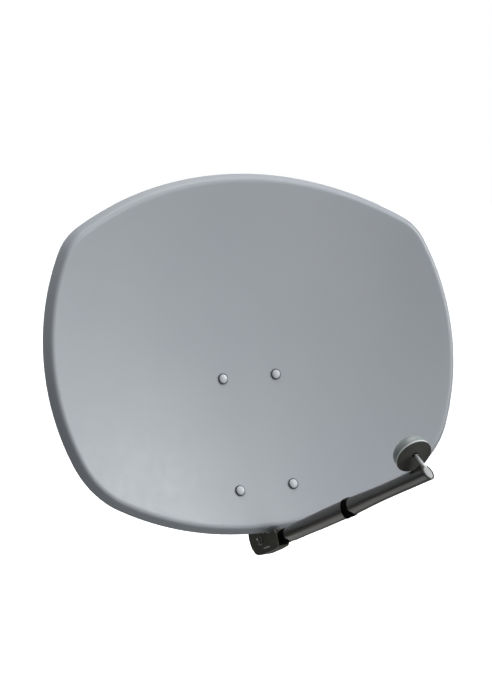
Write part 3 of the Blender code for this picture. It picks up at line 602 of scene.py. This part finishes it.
def rim_outline():
    """Points round the reflecting edge, with the outward direction at each."""
    top = (0, HALF_HEIGHT - TOP_RADIUS)
    side = (HALF_WIDTH - SIDE_RADIUS, WIDEST_Z)
    bottom = (0, TOP_RADIUS - HALF_HEIGHT)
    upper = meeting_point(top, TOP_RADIUS - UPPER_CORNER, side, SIDE_RADIUS - UPPER_CORNER, True)
    lower = meeting_point(bottom, TOP_RADIUS - LOWER_CORNER, side, SIDE_RADIUS - LOWER_CORNER, False)
    turns = [math.pi / 2, angle_from(top, upper), angle_from(side, upper),
             angle_from(side, lower), angle_from(bottom, lower), -math.pi / 2]
    arcs = [(top, TOP_RADIUS, 30), (upper, UPPER_CORNER, 18), (side, SIDE_RADIUS, 36),
            (lower, LOWER_CORNER, 22), (bottom, TOP_RADIUS, 26)]
    right = []
    for k, (centre, radius, count) in enumerate(arcs):
        for i in range(count):
            turn = turns[k] + (turns[k + 1] - turns[k]) * i / count
            out = (math.cos(turn), math.sin(turn))
            right.append((centre[0] + radius * out[0], centre[1] + radius * out[1], out))
    foot = (0, -HALF_HEIGHT, (0, -1))
    left = [(-x, z, (-out[0], out[1])) for x, z, out in reversed(right[1:])]
    return right + [foot] + left


def lip_profile():
    """Rolled bead, wall and hem, as distances outward and backward from the reflecting edge."""
    points = smoothed([(out * LIP_OUT, back * LIP_BACK) for out, back in LIP_SECTION], 4)[1:]
    run = (points[-1] - points[-6]).normalized()
    inward = Vector((-run.y, run.x))
    centre = points[-1] + inward * HEM_RADIUS
    for k in range(1, 11):
        turn = math.radians(21 * k)
        points.append(centre - inward * HEM_RADIUS * math.cos(turn) + run * HEM_RADIUS * math.sin(turn))
    return points


def make_reflector(finishes):
    rim = list(reversed(rim_outline()))
    rings = []
    inner = [(x - d[0] * LIP_INSET, z - d[1] * LIP_INSET) for x, z, d in rim]
    for k in range(1, BOWL_RINGS + 1):
        scale = k / BOWL_RINGS
        rings.append([(x * scale, bowl_y(x * scale, z * scale), z * scale) for x, z in inner])
    for out, back in lip_profile():
        inside = min(out, 0)
        ring = []
        for x, z, d in rim:
            y = bowl_y(x + d[0] * inside, z + d[1] * inside) + back
            ring.append((x + d[0] * out, y, z + d[1] * out))
        rings.append(ring)
    bm = bmesh.new()
    loops = weave(bm, rings)
    hub = bm.verts.new((0, bowl_y(0, 0), 0))
    for first, second in zip(loops[0], loops[0][1:] + loops[0][:1]):
        bm.faces.new((hub, first, second))
    mesh = bpy.data.meshes.new("reflector_sheet")
    bm.to_mesh(mesh)
    bm.free()
    sheet = piece("reflector_sheet", mesh, finishes["paint"], "dish",
                  ["reflector"], DISH, 70)
    shell = sheet.modifiers.new("sheet", "SOLIDIFY")
    shell.thickness = SHEET
    shell.offset = -1


# ---------------------------------------------------------------- fasteners

def dome_bolt(length):
    """Carriage bolt: low domed head with a rolled edge, square neck, threaded shank."""
    bm = bmesh.new()
    cap = DOME_RADIUS - 1.0 * MM
    sphere = (cap ** 2 + DOME_SAG ** 2) / (2 * DOME_SAG)
    reach = math.asin(cap / sphere)
    profile = [(AXIS, DOME_HEIGHT)]
    for i in range(1, 9):
        turn = reach * i / 8
        profile.append((sphere * math.sin(turn), DOME_HEIGHT - sphere * (1 - math.cos(turn))))
    for aside, drop in ((0.5, 0.3), (0.2, 0.8), (0, 1.5)):
        profile.append((DOME_RADIUS - aside * MM, DOME_HEIGHT - DOME_SAG - drop * MM))
    profile += [(DOME_RADIUS, WASHER_HEIGHT), (DOME_RADIUS - 0.2 * MM, 0.1 * MM), (AXIS, 0.1 * MM)]
    turned(bm, profile)
    neck = Matrix.Diagonal((8 * MM, 8 * MM, 2.8 * MM, 1))
    bmesh.ops.create_cube(bm, size=1, matrix=Matrix.Translation((0, 0, -1.2 * MM)) @ neck)
    m8_thread(bm, -2.4 * MM, -length)
    return mesh_from("dome_bolt", bm)


def seal_washer():
    """Soft ring under a domed head, squeezed out a little at its edge; its dark colour is also painted
    shade round the head.
    """
    bore = DOME_RADIUS - 1.2 * MM
    rows = [(bore, 0), (WASHER_RADIUS - 0.3 * MM, 0), (WASHER_RADIUS, 0.4 * MM),
            (WASHER_RADIUS - 0.1 * MM, 0.9 * MM), (WASHER_RADIUS - 0.6 * MM, WASHER_HEIGHT),
            (bore, WASHER_HEIGHT)]
    return turned_mesh("seal_washer", rows, hollow=True)


def hex_bolt(length):
    """Flanged hexagon bolt; the part of the shank under the head is plain."""
    bm = bmesh.new()
    top = 6.3 * MM
    flats = M8_FLATS
    rows = [(AXIS, top - 0.5 * MM), (flats * 0.36, top - 0.5 * MM), (flats * 0.42, top),
            (hexagon(flats, flats * 0.495), top), (hexagon(flats, flats * 0.545), top - 0.45 * MM),
            (hexagon(flats), top - 1 * MM), (hexagon(flats), 1.6 * MM),
            (hexagon(flats + 0.5 * MM), 1.3 * MM), (FLANGE_RADIUS - 0.5 * MM, 1.2 * MM),
            (FLANGE_RADIUS, 0.5 * MM), (FLANGE_RADIUS - 0.2 * MM, 0), (AXIS, 0)]
    turned(bm, rows)
    plain = -0.55 * length
    turned(bm, [(M8_RADIUS, 0.2 * MM), (M8_RADIUS, plain), (M8_RADIUS - THREAD_DEPTH, plain - 0.4 * MM)],
           32)
    m8_thread(bm, plain, -length)
    return mesh_from("hex_bolt", bm)


def flange_nut():
    """Flanged hexagon nut, seated on z = 0 and standing up from it."""
    bore = M8_RADIUS + GAP / 2
    top = NUT_HEIGHT
    flats = M8_FLATS
    rows = [(bore + 0.5 * MM, 0), (FLANGE_RADIUS - 0.2 * MM, 0), (FLANGE_RADIUS, 0.4 * MM),
            (FLANGE_RADIUS - 0.6 * MM, 1.2 * MM), (hexagon(flats + 0.5 * MM), 1.4 * MM),
            (hexagon(flats), 1.8 * MM), (hexagon(flats), top - 1 * MM),
            (hexagon(flats, flats * 0.545), top - 0.45 * MM), (hexagon(flats, flats * 0.495), top),
            (bore + 0.6 * MM, top), (bore, top - 0.5 * MM), (bore, 0.5 * MM)]
    return turned_mesh("flange_nut", rows, hollow=True)


def bolt_places():
    """Where the four bolts stand on the bowl: name and place, z along the bolt out of the front."""
    places = []
    for level, z in zip(("upper", "lower"), BOLT_ROWS):
        for side, x in (("left", -BOLT_X), ("right", BOLT_X)):
            turn = bowl_normal(x, z).to_track_quat("Z", "Y").to_matrix().to_4x4()
            places.append((level + "_" + side, Matrix.Translation((x, bowl_y(x, z), z)) @ turn))
    return places


def make_reflector_bolts(finishes):
    for name, place in bolt_places():
        stack = SHEET + STEEL + 3 * GAP
        if name.startswith("lower"):
            stack += STEEL + GAP
        face = DISH @ place @ Matrix.Translation((0, 0, BOWL_GAP))
        piece("carriage_bolt_" + name, dome_bolt(DISH_BOLT_LENGTH), finishes["dome"], "dish",
              ["reflector_bolt_" + name], face)
        # The dark washer also paints the shade ring round the head.
        piece("seal_washer_" + name, seal_washer(), finishes["washer"], "dish", (),
              face)
        seat = Matrix.Translation((0, 0, -stack)) @ Matrix.Rotation(math.pi, 4, "X")
        piece("flange_nut_" + name, flange_nut(), finishes["zinc"], "dish",
              ["reflector_nut_" + name], DISH @ place @ seat)


def cross_bolts(names, outer, length, place, body, finish):
    """A hexagon bolt from the left and its nut on the right, on the axis at place."""
    for side, kind, mesh in ((-1, "bolt", hex_bolt(length)), (1, "nut", flange_nut())):
        turn = Matrix.Rotation(side * math.pi / 2, 4, "Y")
        seat = place @ Matrix.Translation((side * outer, 0, 0)) @ turn
        piece("hex_%s_%s" % (kind, names), mesh, finish, body, ["%s_%s" % (names, kind)], seat)


def make_clamp_bolts(finishes):
    for level, z in (("lower", -CLAMP_Z), ("upper", CLAMP_Z)):
        for side, x in (("left", -CLAMP_BOLT_X), ("right", CLAMP_BOLT_X)):
            name = "%s_%s" % (level, side)
            seat = Matrix.Translation((x, PLATE_Y - GAP, z)) @ Matrix.Rotation(math.pi / 2, 4, "X")
            piece("mast_bolt_" + name, dome_bolt(MAST_BOLT_LENGTH), finishes["zinc"],
                  "mast_bracket", ["clamp_bolt_" + name], seat)
            seat = Matrix.Translation((x, JAW_FACE_Y, z)) @ Matrix.Rotation(-math.pi / 2, 4, "X")
            piece("mast_nut_" + name, flange_nut(), finishes["zinc"], level + "_clamp_jaw",
                  ["clamp_nut_" + name], seat)


# ---------------------------------------------------------------- feed arm

def ease(start, end, value):
    t = min(max((value - start) / (end - start), 0), 1)
    return t * t * (3 - 2 * t)


def arm_section(along):
    belly = 4.5 * MM * ease(70 * MM, 125 * MM, along) + 1.5 * MM * ease(150 * MM, 240 * MM, along)
    taper = 6.5 * MM * ease(300 * MM, 450 * MM, along)
    return ARM_WIDTH, ROOT_DEPTH + belly - taper


def oval(along, grow=0.0, slant=0.0, count=56):
    """Points round the arm's oval section in the arm frame; slant leans the section back at the top."""
    width, depth = arm_section(along)
    ring = []
    for i in range(count):
        turn = 2 * math.pi * i / count
        x = (width / 2 + grow) * math.cos(turn)
        z = (depth / 2 + grow) * math.sin(turn)
        ring.append((x, -along + z * math.tan(slant), z - ARM_DROP))
    return ring


def make_arm_tube(finishes):
    count = 60
    spots = [ARM_START + (ARM_TIP - 14 * MM - ARM_START) * k / count for k in range(count + 1)]
    lip = 0.4 * MM
    outer = [oval(ARM_START, -lip)] + [oval(s) for s in [spots[0] + lip] + spots[1:]]
    outer += [oval(ARM_TIP - lip, 0, TIP_SLANT), oval(ARM_TIP, -lip, TIP_SLANT)]
    inner = [oval(ARM_TIP, -ARM_WALL, TIP_SLANT)] + [oval(s, -ARM_WALL) for s in reversed(spots)]
    piece("arm_oval_tube", lofted_mesh("arm_oval_tube", outer + inner, True), finishes["arm"],
          "feed_arm", ["arm_tube"], ARM, 40)


def collar_ring(middle, share, grow):
    """Ring of a collar at a share of its half length; its front edge runs on under the tube."""
    width, depth = arm_section(middle)
    ring = []
    count = 72
    for i in range(count):
        turn = 2 * math.pi * i / count
        tail = COLLAR_TAIL * ease(0.25, 0.8, -math.sin(turn)) * max(share, 0)
        ring.append(((width / 2 + grow) * math.cos(turn), -middle - share * COLLAR_LENGTH / 2 - tail,
                     (depth / 2 + grow) * math.sin(turn) - ARM_DROP))
    return ring


def make_collars(finishes):
    """Black clips round the arm: a raised rim at each edge and a tail under the tube."""
    rims = [(1, 0.5), (0.97, 0.9), (0.85, 1.0), (0.6, 1.0), (0.5, 0.8)]
    outer = [(-share, wall) for share, wall in rims] + list(reversed(rims))
    for name, middle in (("rear", COLLAR_REAR), ("front", COLLAR_FRONT)):
        rings = [collar_ring(middle, share, wall * COLLAR_WALL) for share, wall in outer]
        rings += [collar_ring(middle, share, GAP / 3) for share in (1, -1)]
        piece("arm_clip_" + name, lofted_mesh("arm_clip", rings, True), finishes["black"],
              "feed_arm", ["arm_collar_" + name], ARM, 40)


def soften_shoe(bm):
    """Rounds the corners of the shoe's outline where its bottom turns up to the rear."""
    corners = []
    for edge in bm.edges:
        middle = ARM.inverted() @ ((edge.verts[0].co + edge.verts[1].co) / 2)
        across = edge.calc_length() > 1.9 * SHOE_HALF and abs(middle.x) < 1 * MM
        if across and 0 < middle.y < 45 * MM:
            corners.append(edge)
    bmesh.ops.bevel(bm, geom=corners, offset=SHOE_CORNER, segments=4, profile=0.5, affect="EDGES")


def make_shoe(finishes):
    """Pressed channel at the arm's root, with a stamped rib on each side."""
    refined("arm_root_shoe", "arm_shoe", finishes["shoe"], "feed_arm", 1.1 * MM,
            soften_shoe)
    for side, x in SIDE_SIGNS.items():
        rings = []
        for k in range(13):
            share = k / 12
            swell = math.sqrt(max(1 - abs(2 * share - 1) ** 6, 0.002))
            along = (share - 0.5) * SHOE_RIB_LENGTH
            rings.append([(y * 0.7 * swell, along, z * swell)
                          for y, z in arc((0, 0), SHOE_RIB_RADIUS, 0, 2 * math.pi, 14)[:-1]])
        place = ARM @ Matrix.Translation((x * (SHOE_HALF - 0.1 * MM), -19 * MM, -15.6 * MM))
        tilt = Matrix.Rotation(math.radians(3), 4, "X")
        # Each rib takes the pale finish, a painted highlight line.
        piece("shoe_rib_" + side, lofted_mesh("shoe_rib", rings), finishes["rib_highlight"],
              "feed_arm", (), place @ tilt)


def socket_barrel():
    """Threaded barrel, open at its outer end, with the thin contact inside."""
    end = SOCKET_LENGTH
    rows = [(SOCKET_BORE, 3 * MM), (SOCKET_BORE, end - 0.3 * MM), (SOCKET_BORE + 0.3 * MM, end),
            (SOCKET_RADIUS - 0.5 * MM, end)]
    count = 52
    for k in range(count + 1):
        height = end - 0.4 * MM - (end - 4.2 * MM) * k / count

        def reach(turn, height=height):
            return SOCKET_RADIUS - SOCKET_THREAD * helix(height, turn, SOCKET_PITCH)
        rows.append((reach, height))
    rows += [(SOCKET_RADIUS, 3.6 * MM), (SOCKET_RADIUS, -3.5 * MM)]
    bm = bmesh.new()
    turned(bm, list(reversed(rows)), SOCKET_SIDES)
    pin = 0.45 * MM
    turned(bm, [(AXIS, 11 * MM), (pin, 10.6 * MM), (pin, 3 * MM), (AXIS, 3 * MM)], 12)
    return mesh_from("f_type_socket", bm)


def make_socket(finishes):
    """Threaded cable socket on the arm's far side, with its ring nut."""
    seat = Matrix.Translation((arm_section(SOCKET_ALONG)[0] / 2, -SOCKET_ALONG, -ARM_DROP))
    place = ARM @ seat @ Matrix.Rotation(math.pi / 2, 4, "Y")
    piece("f_type_socket", socket_barrel(), finishes["zinc"], "feed_arm", ["cable_socket"],
          place)
    flats = 11.4 * MM
    bore = SOCKET_RADIUS + 0.1 * MM
    rows = [(bore, 0.6 * MM), (hexagon(flats, flats * 0.56), 0.6 * MM), (hexagon(flats), 0.9 * MM),
            (hexagon(flats), 2.7 * MM), (hexagon(flats, flats * 0.53), 3.1 * MM),
            (hexagon(flats, flats * 0.49), 3.2 * MM), (bore, 3.2 * MM)]
    piece("socket_ring_nut", turned_mesh("socket_ring_nut", rows, hollow=True), finishes["zinc"],
          "feed_arm", ["cable_socket_nut"], place)


# ---------------------------------------------------------------- feed head

def make_stem(finishes):
    """Rod, the light oval plate that it flattens into, and the dark bezel round that plate."""
    inset = 2.3
    layers = [(0.4, 1), (1.4, 0), (2.0, 0), (2.5, 0.3), (2.8, 1), (3.1, 2.6), (3.2, 4)]
    rings = [oval(ARM_TIP + ahead * MM, -(inset + cut) * MM, TIP_SLANT) for ahead, cut in layers]
    piece("stem_foot", lofted_mesh("stem_foot", rings), finishes["bright"], "feed_arm", (),
          ARM, 50)
    thick = STEM_RADIUS + 0.4 * MM
    profile = [(STEM_RADIUS - 0.4 * MM, 4.4 * MM), (STEM_RADIUS, 4.0 * MM), (STEM_RADIUS, -1.6 * MM),
               (thick, -2.4 * MM), (thick, -22 * MM), (thick + 0.4 * MM, -27 * MM),
               (thick + 0.4 * MM, -32 * MM), (thick - 1.2 * MM, -34 * MM)]
    piece("stem_rod", turned_mesh("stem_rod", profile, 32), finishes["stem"], "feed_arm",
          ["feed_stem"], FEED @ Matrix.Rotation(math.pi / 2, 4, "X"), 50)
    outer = [(0.3, 0.3), (0.6, 0), (2.2, 0), (2.8, 0.3), (3.1, 0.9)]
    inner = [(2.9, inset - 0.6), (2.3, inset - 0.15), (0.3, inset - 0.15)]
    rings = [oval(ARM_TIP + ahead * MM, -cut * MM, TIP_SLANT) for ahead, cut in outer + inner]
    piece("arm_tip_bezel", lofted_mesh("arm_tip_bezel", rings, True), finishes["arm"],
          "feed_arm", (), ARM, 40)


def make_saddle(name, start, rises, slant, finishes):
    """Low saddle over the top of the tube; its front end leans back by slant."""
    long = rises[-1][0]
    rings = []
    for ahead, rise in rises:
        lean = slant * ease(0.3 * long, 0.95 * long, ahead)
        upper = oval(start + ahead * MM, 0.15 * MM, lean, 72)[3:34]
        lower = oval(start + ahead * MM, -0.3 * MM, lean, 72)[3:34]
        ring = []
        for k, (x, y, z) in enumerate(upper):
            share = math.sin(math.pi * (k + 0.5) / len(upper)) ** 0.6
            ring.append((x, y, z + rise * MM * share))
        rings.append(ring + list(reversed(lower)))
    piece(name, lofted_mesh(name, rings), finishes["arm"], "feed_arm", (), ARM, 40)


def dome_rows(radius, rise):
    """Quarter ellipse from the cover's tip down to its straight wall."""
    turns = [math.pi / 2 * i / 16 for i in range(17)]
    return [(max(radius * math.sin(turn), AXIS), COVER_WALL + rise * math.cos(turn)) for turn in turns]


def cover_profile():
    """Feed cover: a dome, a straight wall, a groove and a flange, then back along the inside."""
    wall = FEED_RADIUS - 0.9 * MM
    inside = FEED_RADIUS - FEED_WALL
    rise = FEED_DEPTH - COVER_WALL
    rim = FEED_RADIUS - 0.3 * MM
    foot = DISC_EDGE + 0.1 * MM
    flange = [(wall, 5.0 * MM), (wall - 0.25 * MM, 4.6 * MM), (wall, 4.2 * MM), (rim, 3.9 * MM),
              (FEED_RADIUS, 3.5 * MM), (FEED_RADIUS, 2.0 * MM), (rim, foot), (inside + 0.1 * MM, foot)]
    return dome_rows(wall, rise) + flange + list(reversed(dome_rows(inside, rise - FEED_WALL)))


def make_feed_cover(finishes):
    """Domed cover and the bead round its rim, whose pale colour is a painted highlight line."""
    piece("feed_cap", turned_mesh("feed_cap", cover_profile(), FEED_SIDES), finishes["pale"],
          "feed_head", ["feed_cover"], HEAD, 60)
    shape = [(-0.5, 0.1), (0.1, 0.1), (0.45, 0.5), (0.45, 2.2), (0.1, 2.6), (-0.5, 2.6)]
    rows = [(FEED_RADIUS + out * MM, DISC_EDGE + up * MM) for out, up in shape]
    piece("feed_rim_highlight_bead", turned_mesh("feed_rim_highlight_bead", rows, FEED_SIDES, True), finishes["bead"],
          "feed_head", (), HEAD, 60)


def make_feed_back(finishes):
    """Dark back plate with a groove round it, and the sleeve in its off-centre hole."""
    inner = FEED_RADIUS - FEED_WALL - GAP
    bush = STEM_RADIUS + 2 * MM
    groove = [(0.2, DISC_EDGE), (0, 1.2 * MM), (0, 0.7 * MM), (0.6, 0.2 * MM), (3.0, 0.1 * MM),
              (3.3, 0.4 * MM), (3.9, 0.4 * MM), (4.2, 0.1 * MM)]
    rows = [(inner, 3 * MM), (inner, DISC_EDGE)]
    rows += [(FEED_RADIUS - cut * MM, height) for cut, height in groove]
    rows += [(10.4 * MM, 0.1 * MM), (10 * MM, 0), (7.6 * MM, 0)]
    rings = [ring_at(radius, height, FEED_SIDES) for radius, height in rows]
    offset = Vector((0, -FEED_DROP, 0))
    for height in (0.2 * MM, 3 * MM):
        rings.append([Vector(point) + offset for point in ring_at(bush + GAP, height, FEED_SIDES)])
    piece("feed_rear_disc", lofted_mesh("feed_rear_disc", rings, True), finishes["dark"],
          "feed_head", ["feed_back_plate"], HEAD)
    bore = STEM_RADIUS + 0.1 * MM
    rows = [(bore, -0.4 * MM), (STEM_RADIUS + 0.4 * MM, -0.6 * MM), (bush - 0.4 * MM, -0.6 * MM),
            (bush, -0.2 * MM), (bush, 4.6 * MM), (bore, 4.6 * MM)]
    piece("stem_sleeve", turned_mesh("stem_sleeve", rows, 40, True), finishes["black"],
          "feed_head", ["stem_bush"], FEED @ Matrix.Rotation(math.pi / 2, 4, "X"))


# ---------------------------------------------------------------- brackets

def make_brackets(finishes):
    refined("dish_back_frame", "dish_frame", finishes["bracket"], "dish")
    refined("arm_hanger_bracket", "arm_hanger", finishes["bracket"], "dish")
    refined("mast_plate", "mast_bracket", finishes["bracket"], "mast_bracket")
    for level in ("lower", "upper"):
        refined("fixed_jaw_" + level, "mast_seat_" + level, finishes["casting"],
                "mast_bracket")
        refined("loose_jaw_" + level, "clamp_jaw_" + level, finishes["casting"],
                level + "_clamp_jaw")


def make_welds(finishes):
    """Weld beads where the mast bracket's cheeks meet its plate."""
    count = 96
    for side, sign in SIDE_SIGNS.items():
        rings = []
        for k in range(count + 1):
            z = WELD_LOW + (WELD_HIGH - WELD_LOW) * k / count
            swell = 1 + 0.16 * math.sin(2 * math.pi * k / 6) + 0.06 * math.sin(2.3 * k)
            swell *= math.sqrt(max(1 - abs(2 * k / count - 1) ** 12, 0.01))
            section = arc((0, 0), WELD_RADIUS * swell, 0, 2 * math.pi, 10)[:-1]
            rings.append([(x, y, z) for x, y in section])
        place = Matrix.Translation((sign * (CHEEK_X - GAP + 0.2 * MM), PLATE_Y - 0.2 * MM, 0))
        piece("weld_" + side, lofted_mesh("weld_bead", rings), finishes["bracket"],
              "mast_bracket", (), place)


def make_scale(finishes):
    """Embossed elevation ticks beside the slot on each side of the dish frame."""
    outside = CHEEK_X + STEEL + 0.05 * MM
    for side, sign in SIDE_SIGNS.items():
        bm = bmesh.new()
        for k in range(9):
            turn = math.pi / 2 + LEAN_BACK + math.radians(5 * (k - 4))
            reach = (8.5 if k % 2 else 10) * MM
            middle = LOCK_RADIUS + 7 * MM + reach / 2
            size = Matrix.Diagonal((0.5 * MM, reach, 0.8 * MM, 1))
            place = Matrix.Translation((sign * outside, PIVOT_DISH_Y + middle * math.cos(turn),
                                        PIVOT_DISH_Z + middle * math.sin(turn)))
            bmesh.ops.create_cube(bm, size=1, matrix=place @ Matrix.Rotation(turn, 4, "X") @ size)
        ticks = piece("scale_ticks_" + side, mesh_from("scale_ticks", bm), finishes["zinc"],
                      "dish", (), DISH)
        rounded_edges(ticks, 0.12 * MM)


def finish_kept_nodes(finishes):
    """CAD nodes whose shape is right keep it and take a better surface."""
    kept = {"arm_stop_pin": "zinc", "arm_root_plug": "black", "arm_tip_plug": "black",
            "feed_seal": "rubber", "feed_circuit_board": "board", "feed_horn": "casting",
            "feed_probe": "bright", "inner_lead": "jacket"}
    for name, key in kept.items():
        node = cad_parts[name]
        for slot in node.material_slots:
            slot.material = finishes[key]


# ---------------------------------------------------------------- stage, light, camera

def emission(name, shade, strength):
    made = bpy.data.materials.new(name)
    made.use_nodes = True
    made.node_tree.nodes.clear()
    glow = made.node_tree.nodes.new("ShaderNodeEmission")
    glow.inputs["Color"].default_value = shade
    glow.inputs["Strength"].default_value = strength
    out = made.node_tree.nodes.new("ShaderNodeOutputMaterial")
    made.node_tree.links.new(glow.outputs[0], out.inputs["Surface"])
    return made


def make_stage():
    """A pale floor well below the dish and a pale round backdrop behind everything."""
    bm = bmesh.new()
    bmesh.ops.create_circle(bm, cap_ends=True, segments=96, radius=FLOOR_RADIUS)
    floor = bpy.data.objects.new("floor", mesh_from("floor", bm))
    floor.location = (0, 0, CAD_BOX[0].z - FLOOR_DROP)
    pale = Finish("pale_floor", Roughness=0.9, Specular_IOR_Level=0.1)
    tone = pale.blend(pale.spread(pale.noise(1.5, 3), 0, 1), colour(0.90, 0.90, 0.90),
                      colour(0.93, 0.93, 0.93))
    pale.link(Base_Color=tone)
    pale.bumps((pale.noise(200, 2), 0.05, 1 * MM))
    floor.data.materials.append(pale.made)
    bm = bmesh.new()
    bmesh.ops.create_uvsphere(bm, u_segments=64, v_segments=32, radius=BACKDROP_RADIUS)
    backdrop = bpy.data.objects.new("backdrop", mesh_from("backdrop", bm))
    backdrop.data.materials.append(emission("pale_backdrop", (1, 1, 1, 1), 1.0))
    for made in (floor, backdrop):
        bpy.context.scene.collection.objects.link(made)
        made.visible_diffuse = False
        made.visible_glossy = False
    backdrop.visible_shadow = False
    backdrop.visible_transmission = False
    light_floor(floor)


def light_floor(floor):
    """A broad sun that lights nothing but the floor."""
    only_floor = bpy.data.collections.new("only_floor")
    only_floor.objects.link(floor)
    sun = bpy.data.lights.new("floor_light", "SUN")
    sun.energy = FLOOR_SUN
    sun.angle = FLOOR_SUN_ANGLE
    lamp = bpy.data.objects.new("floor_light", sun)
    bpy.context.scene.collection.objects.link(lamp)
    lamp.light_linking.receiver_collection = only_floor


def softbox(name, place, aim, size, watts):
    light = bpy.data.lights.new(name, "AREA")
    light.shape = "RECTANGLE"
    light.size, light.size_y = size
    light.energy = watts
    lamp = bpy.data.objects.new(name, light)
    lamp.location = place
    lamp.rotation_euler = (Vector(aim) - Vector(place)).to_track_quat("-Z", "Y").to_euler()
    lamp.visible_camera = False
    bpy.context.scene.collection.objects.link(lamp)


def make_sky():
    """Dim surround: dark round the horizon and just below it, lighter overhead and underneath."""
    world = bpy.data.worlds.new("studio")
    bpy.context.scene.world = world
    world.use_nodes = True
    tree = world.node_tree
    where = tree.nodes.new("ShaderNodeTexCoord")
    split = tree.nodes.new("ShaderNodeSeparateXYZ")
    tree.links.new(where.outputs["Generated"], split.inputs[0])
    lift = tree.nodes.new("ShaderNodeMapRange")
    lift.inputs["From Min"].default_value = -1
    tree.links.new(split.outputs["Z"], lift.inputs["Value"])
    ramp = tree.nodes.new("ShaderNodeValToRGB")
    stops = ramp.color_ramp.elements
    while len(stops) < len(SKY_STOPS):
        stops.new(0.5)
    for stop, (position, level) in zip(stops, SKY_STOPS):
        stop.position = position
        stop.color = colour(level, level, level * 1.02)
    tree.links.new(lift.outputs["Result"], ramp.inputs["Fac"])
    tree.links.new(ramp.outputs["Color"], tree.nodes["Background"].inputs["Color"])


def make_light(aim):
    make_sky()
    for name, (place, size, watts) in SOFTBOXES.items():
        softbox(name, aim + Vector(place), aim, size, watts)


def make_camera(aim):
    camera = bpy.data.cameras.new("camera")
    camera.lens = LENS
    camera.sensor_width = SENSOR
    camera.shift_x, camera.shift_y = SHIFT
    camera.clip_end = 100
    level = math.cos(ELEVATION)
    back = Vector((-math.sin(AZIMUTH) * level, -math.cos(AZIMUTH) * level, math.sin(ELEVATION)))
    made = bpy.data.objects.new("camera", camera)
    made.location = aim + back * DISTANCE
    made.rotation_euler = (-back).to_track_quat("-Z", "Y").to_euler()
    bpy.context.scene.collection.objects.link(made)
    bpy.context.scene.camera = made


def build():
    bpy.context.scene.view_settings.view_transform = "Standard"
    finishes = make_finishes()
    aim = DISH.to_translation()
    make_reflector(finishes)
    make_reflector_bolts(finishes)
    make_arm_tube(finishes)
    make_collars(finishes)
    make_shoe(finishes)
    make_socket(finishes)
    cross_bolts("arm_pivot", SHOE_HALF + GAP, 2 * SHOE_HALF + 11 * MM, ARM, "feed_arm", finishes["dull"])
    make_stem(finishes)
    make_saddle("arm_tip_hood", TIP_HOOD_START, TIP_RISES, TIP_SLANT, finishes)
    make_saddle("arm_root_saddle", ROOT_SADDLE_START, ROOT_RISES, 0, finishes)
    make_feed_cover(finishes)
    make_feed_back(finishes)
    make_brackets(finishes)
    make_welds(finishes)
    make_scale(finishes)
    make_clamp_bolts(finishes)
    outer = CHEEK_X + STEEL + GAP
    for name, z in (("tilt_pivot", 0), ("tilt_lock", LOCK_RADIUS)):
        cross_bolts(name, outer, 2 * outer + 12 * MM, Matrix.Translation((0, PIVOT_Y, z)),
                    "mast_bracket", finishes["zinc"])
    finish_kept_nodes(finishes)
    make_stage()
    make_light(aim)
    make_camera(aim)


build()
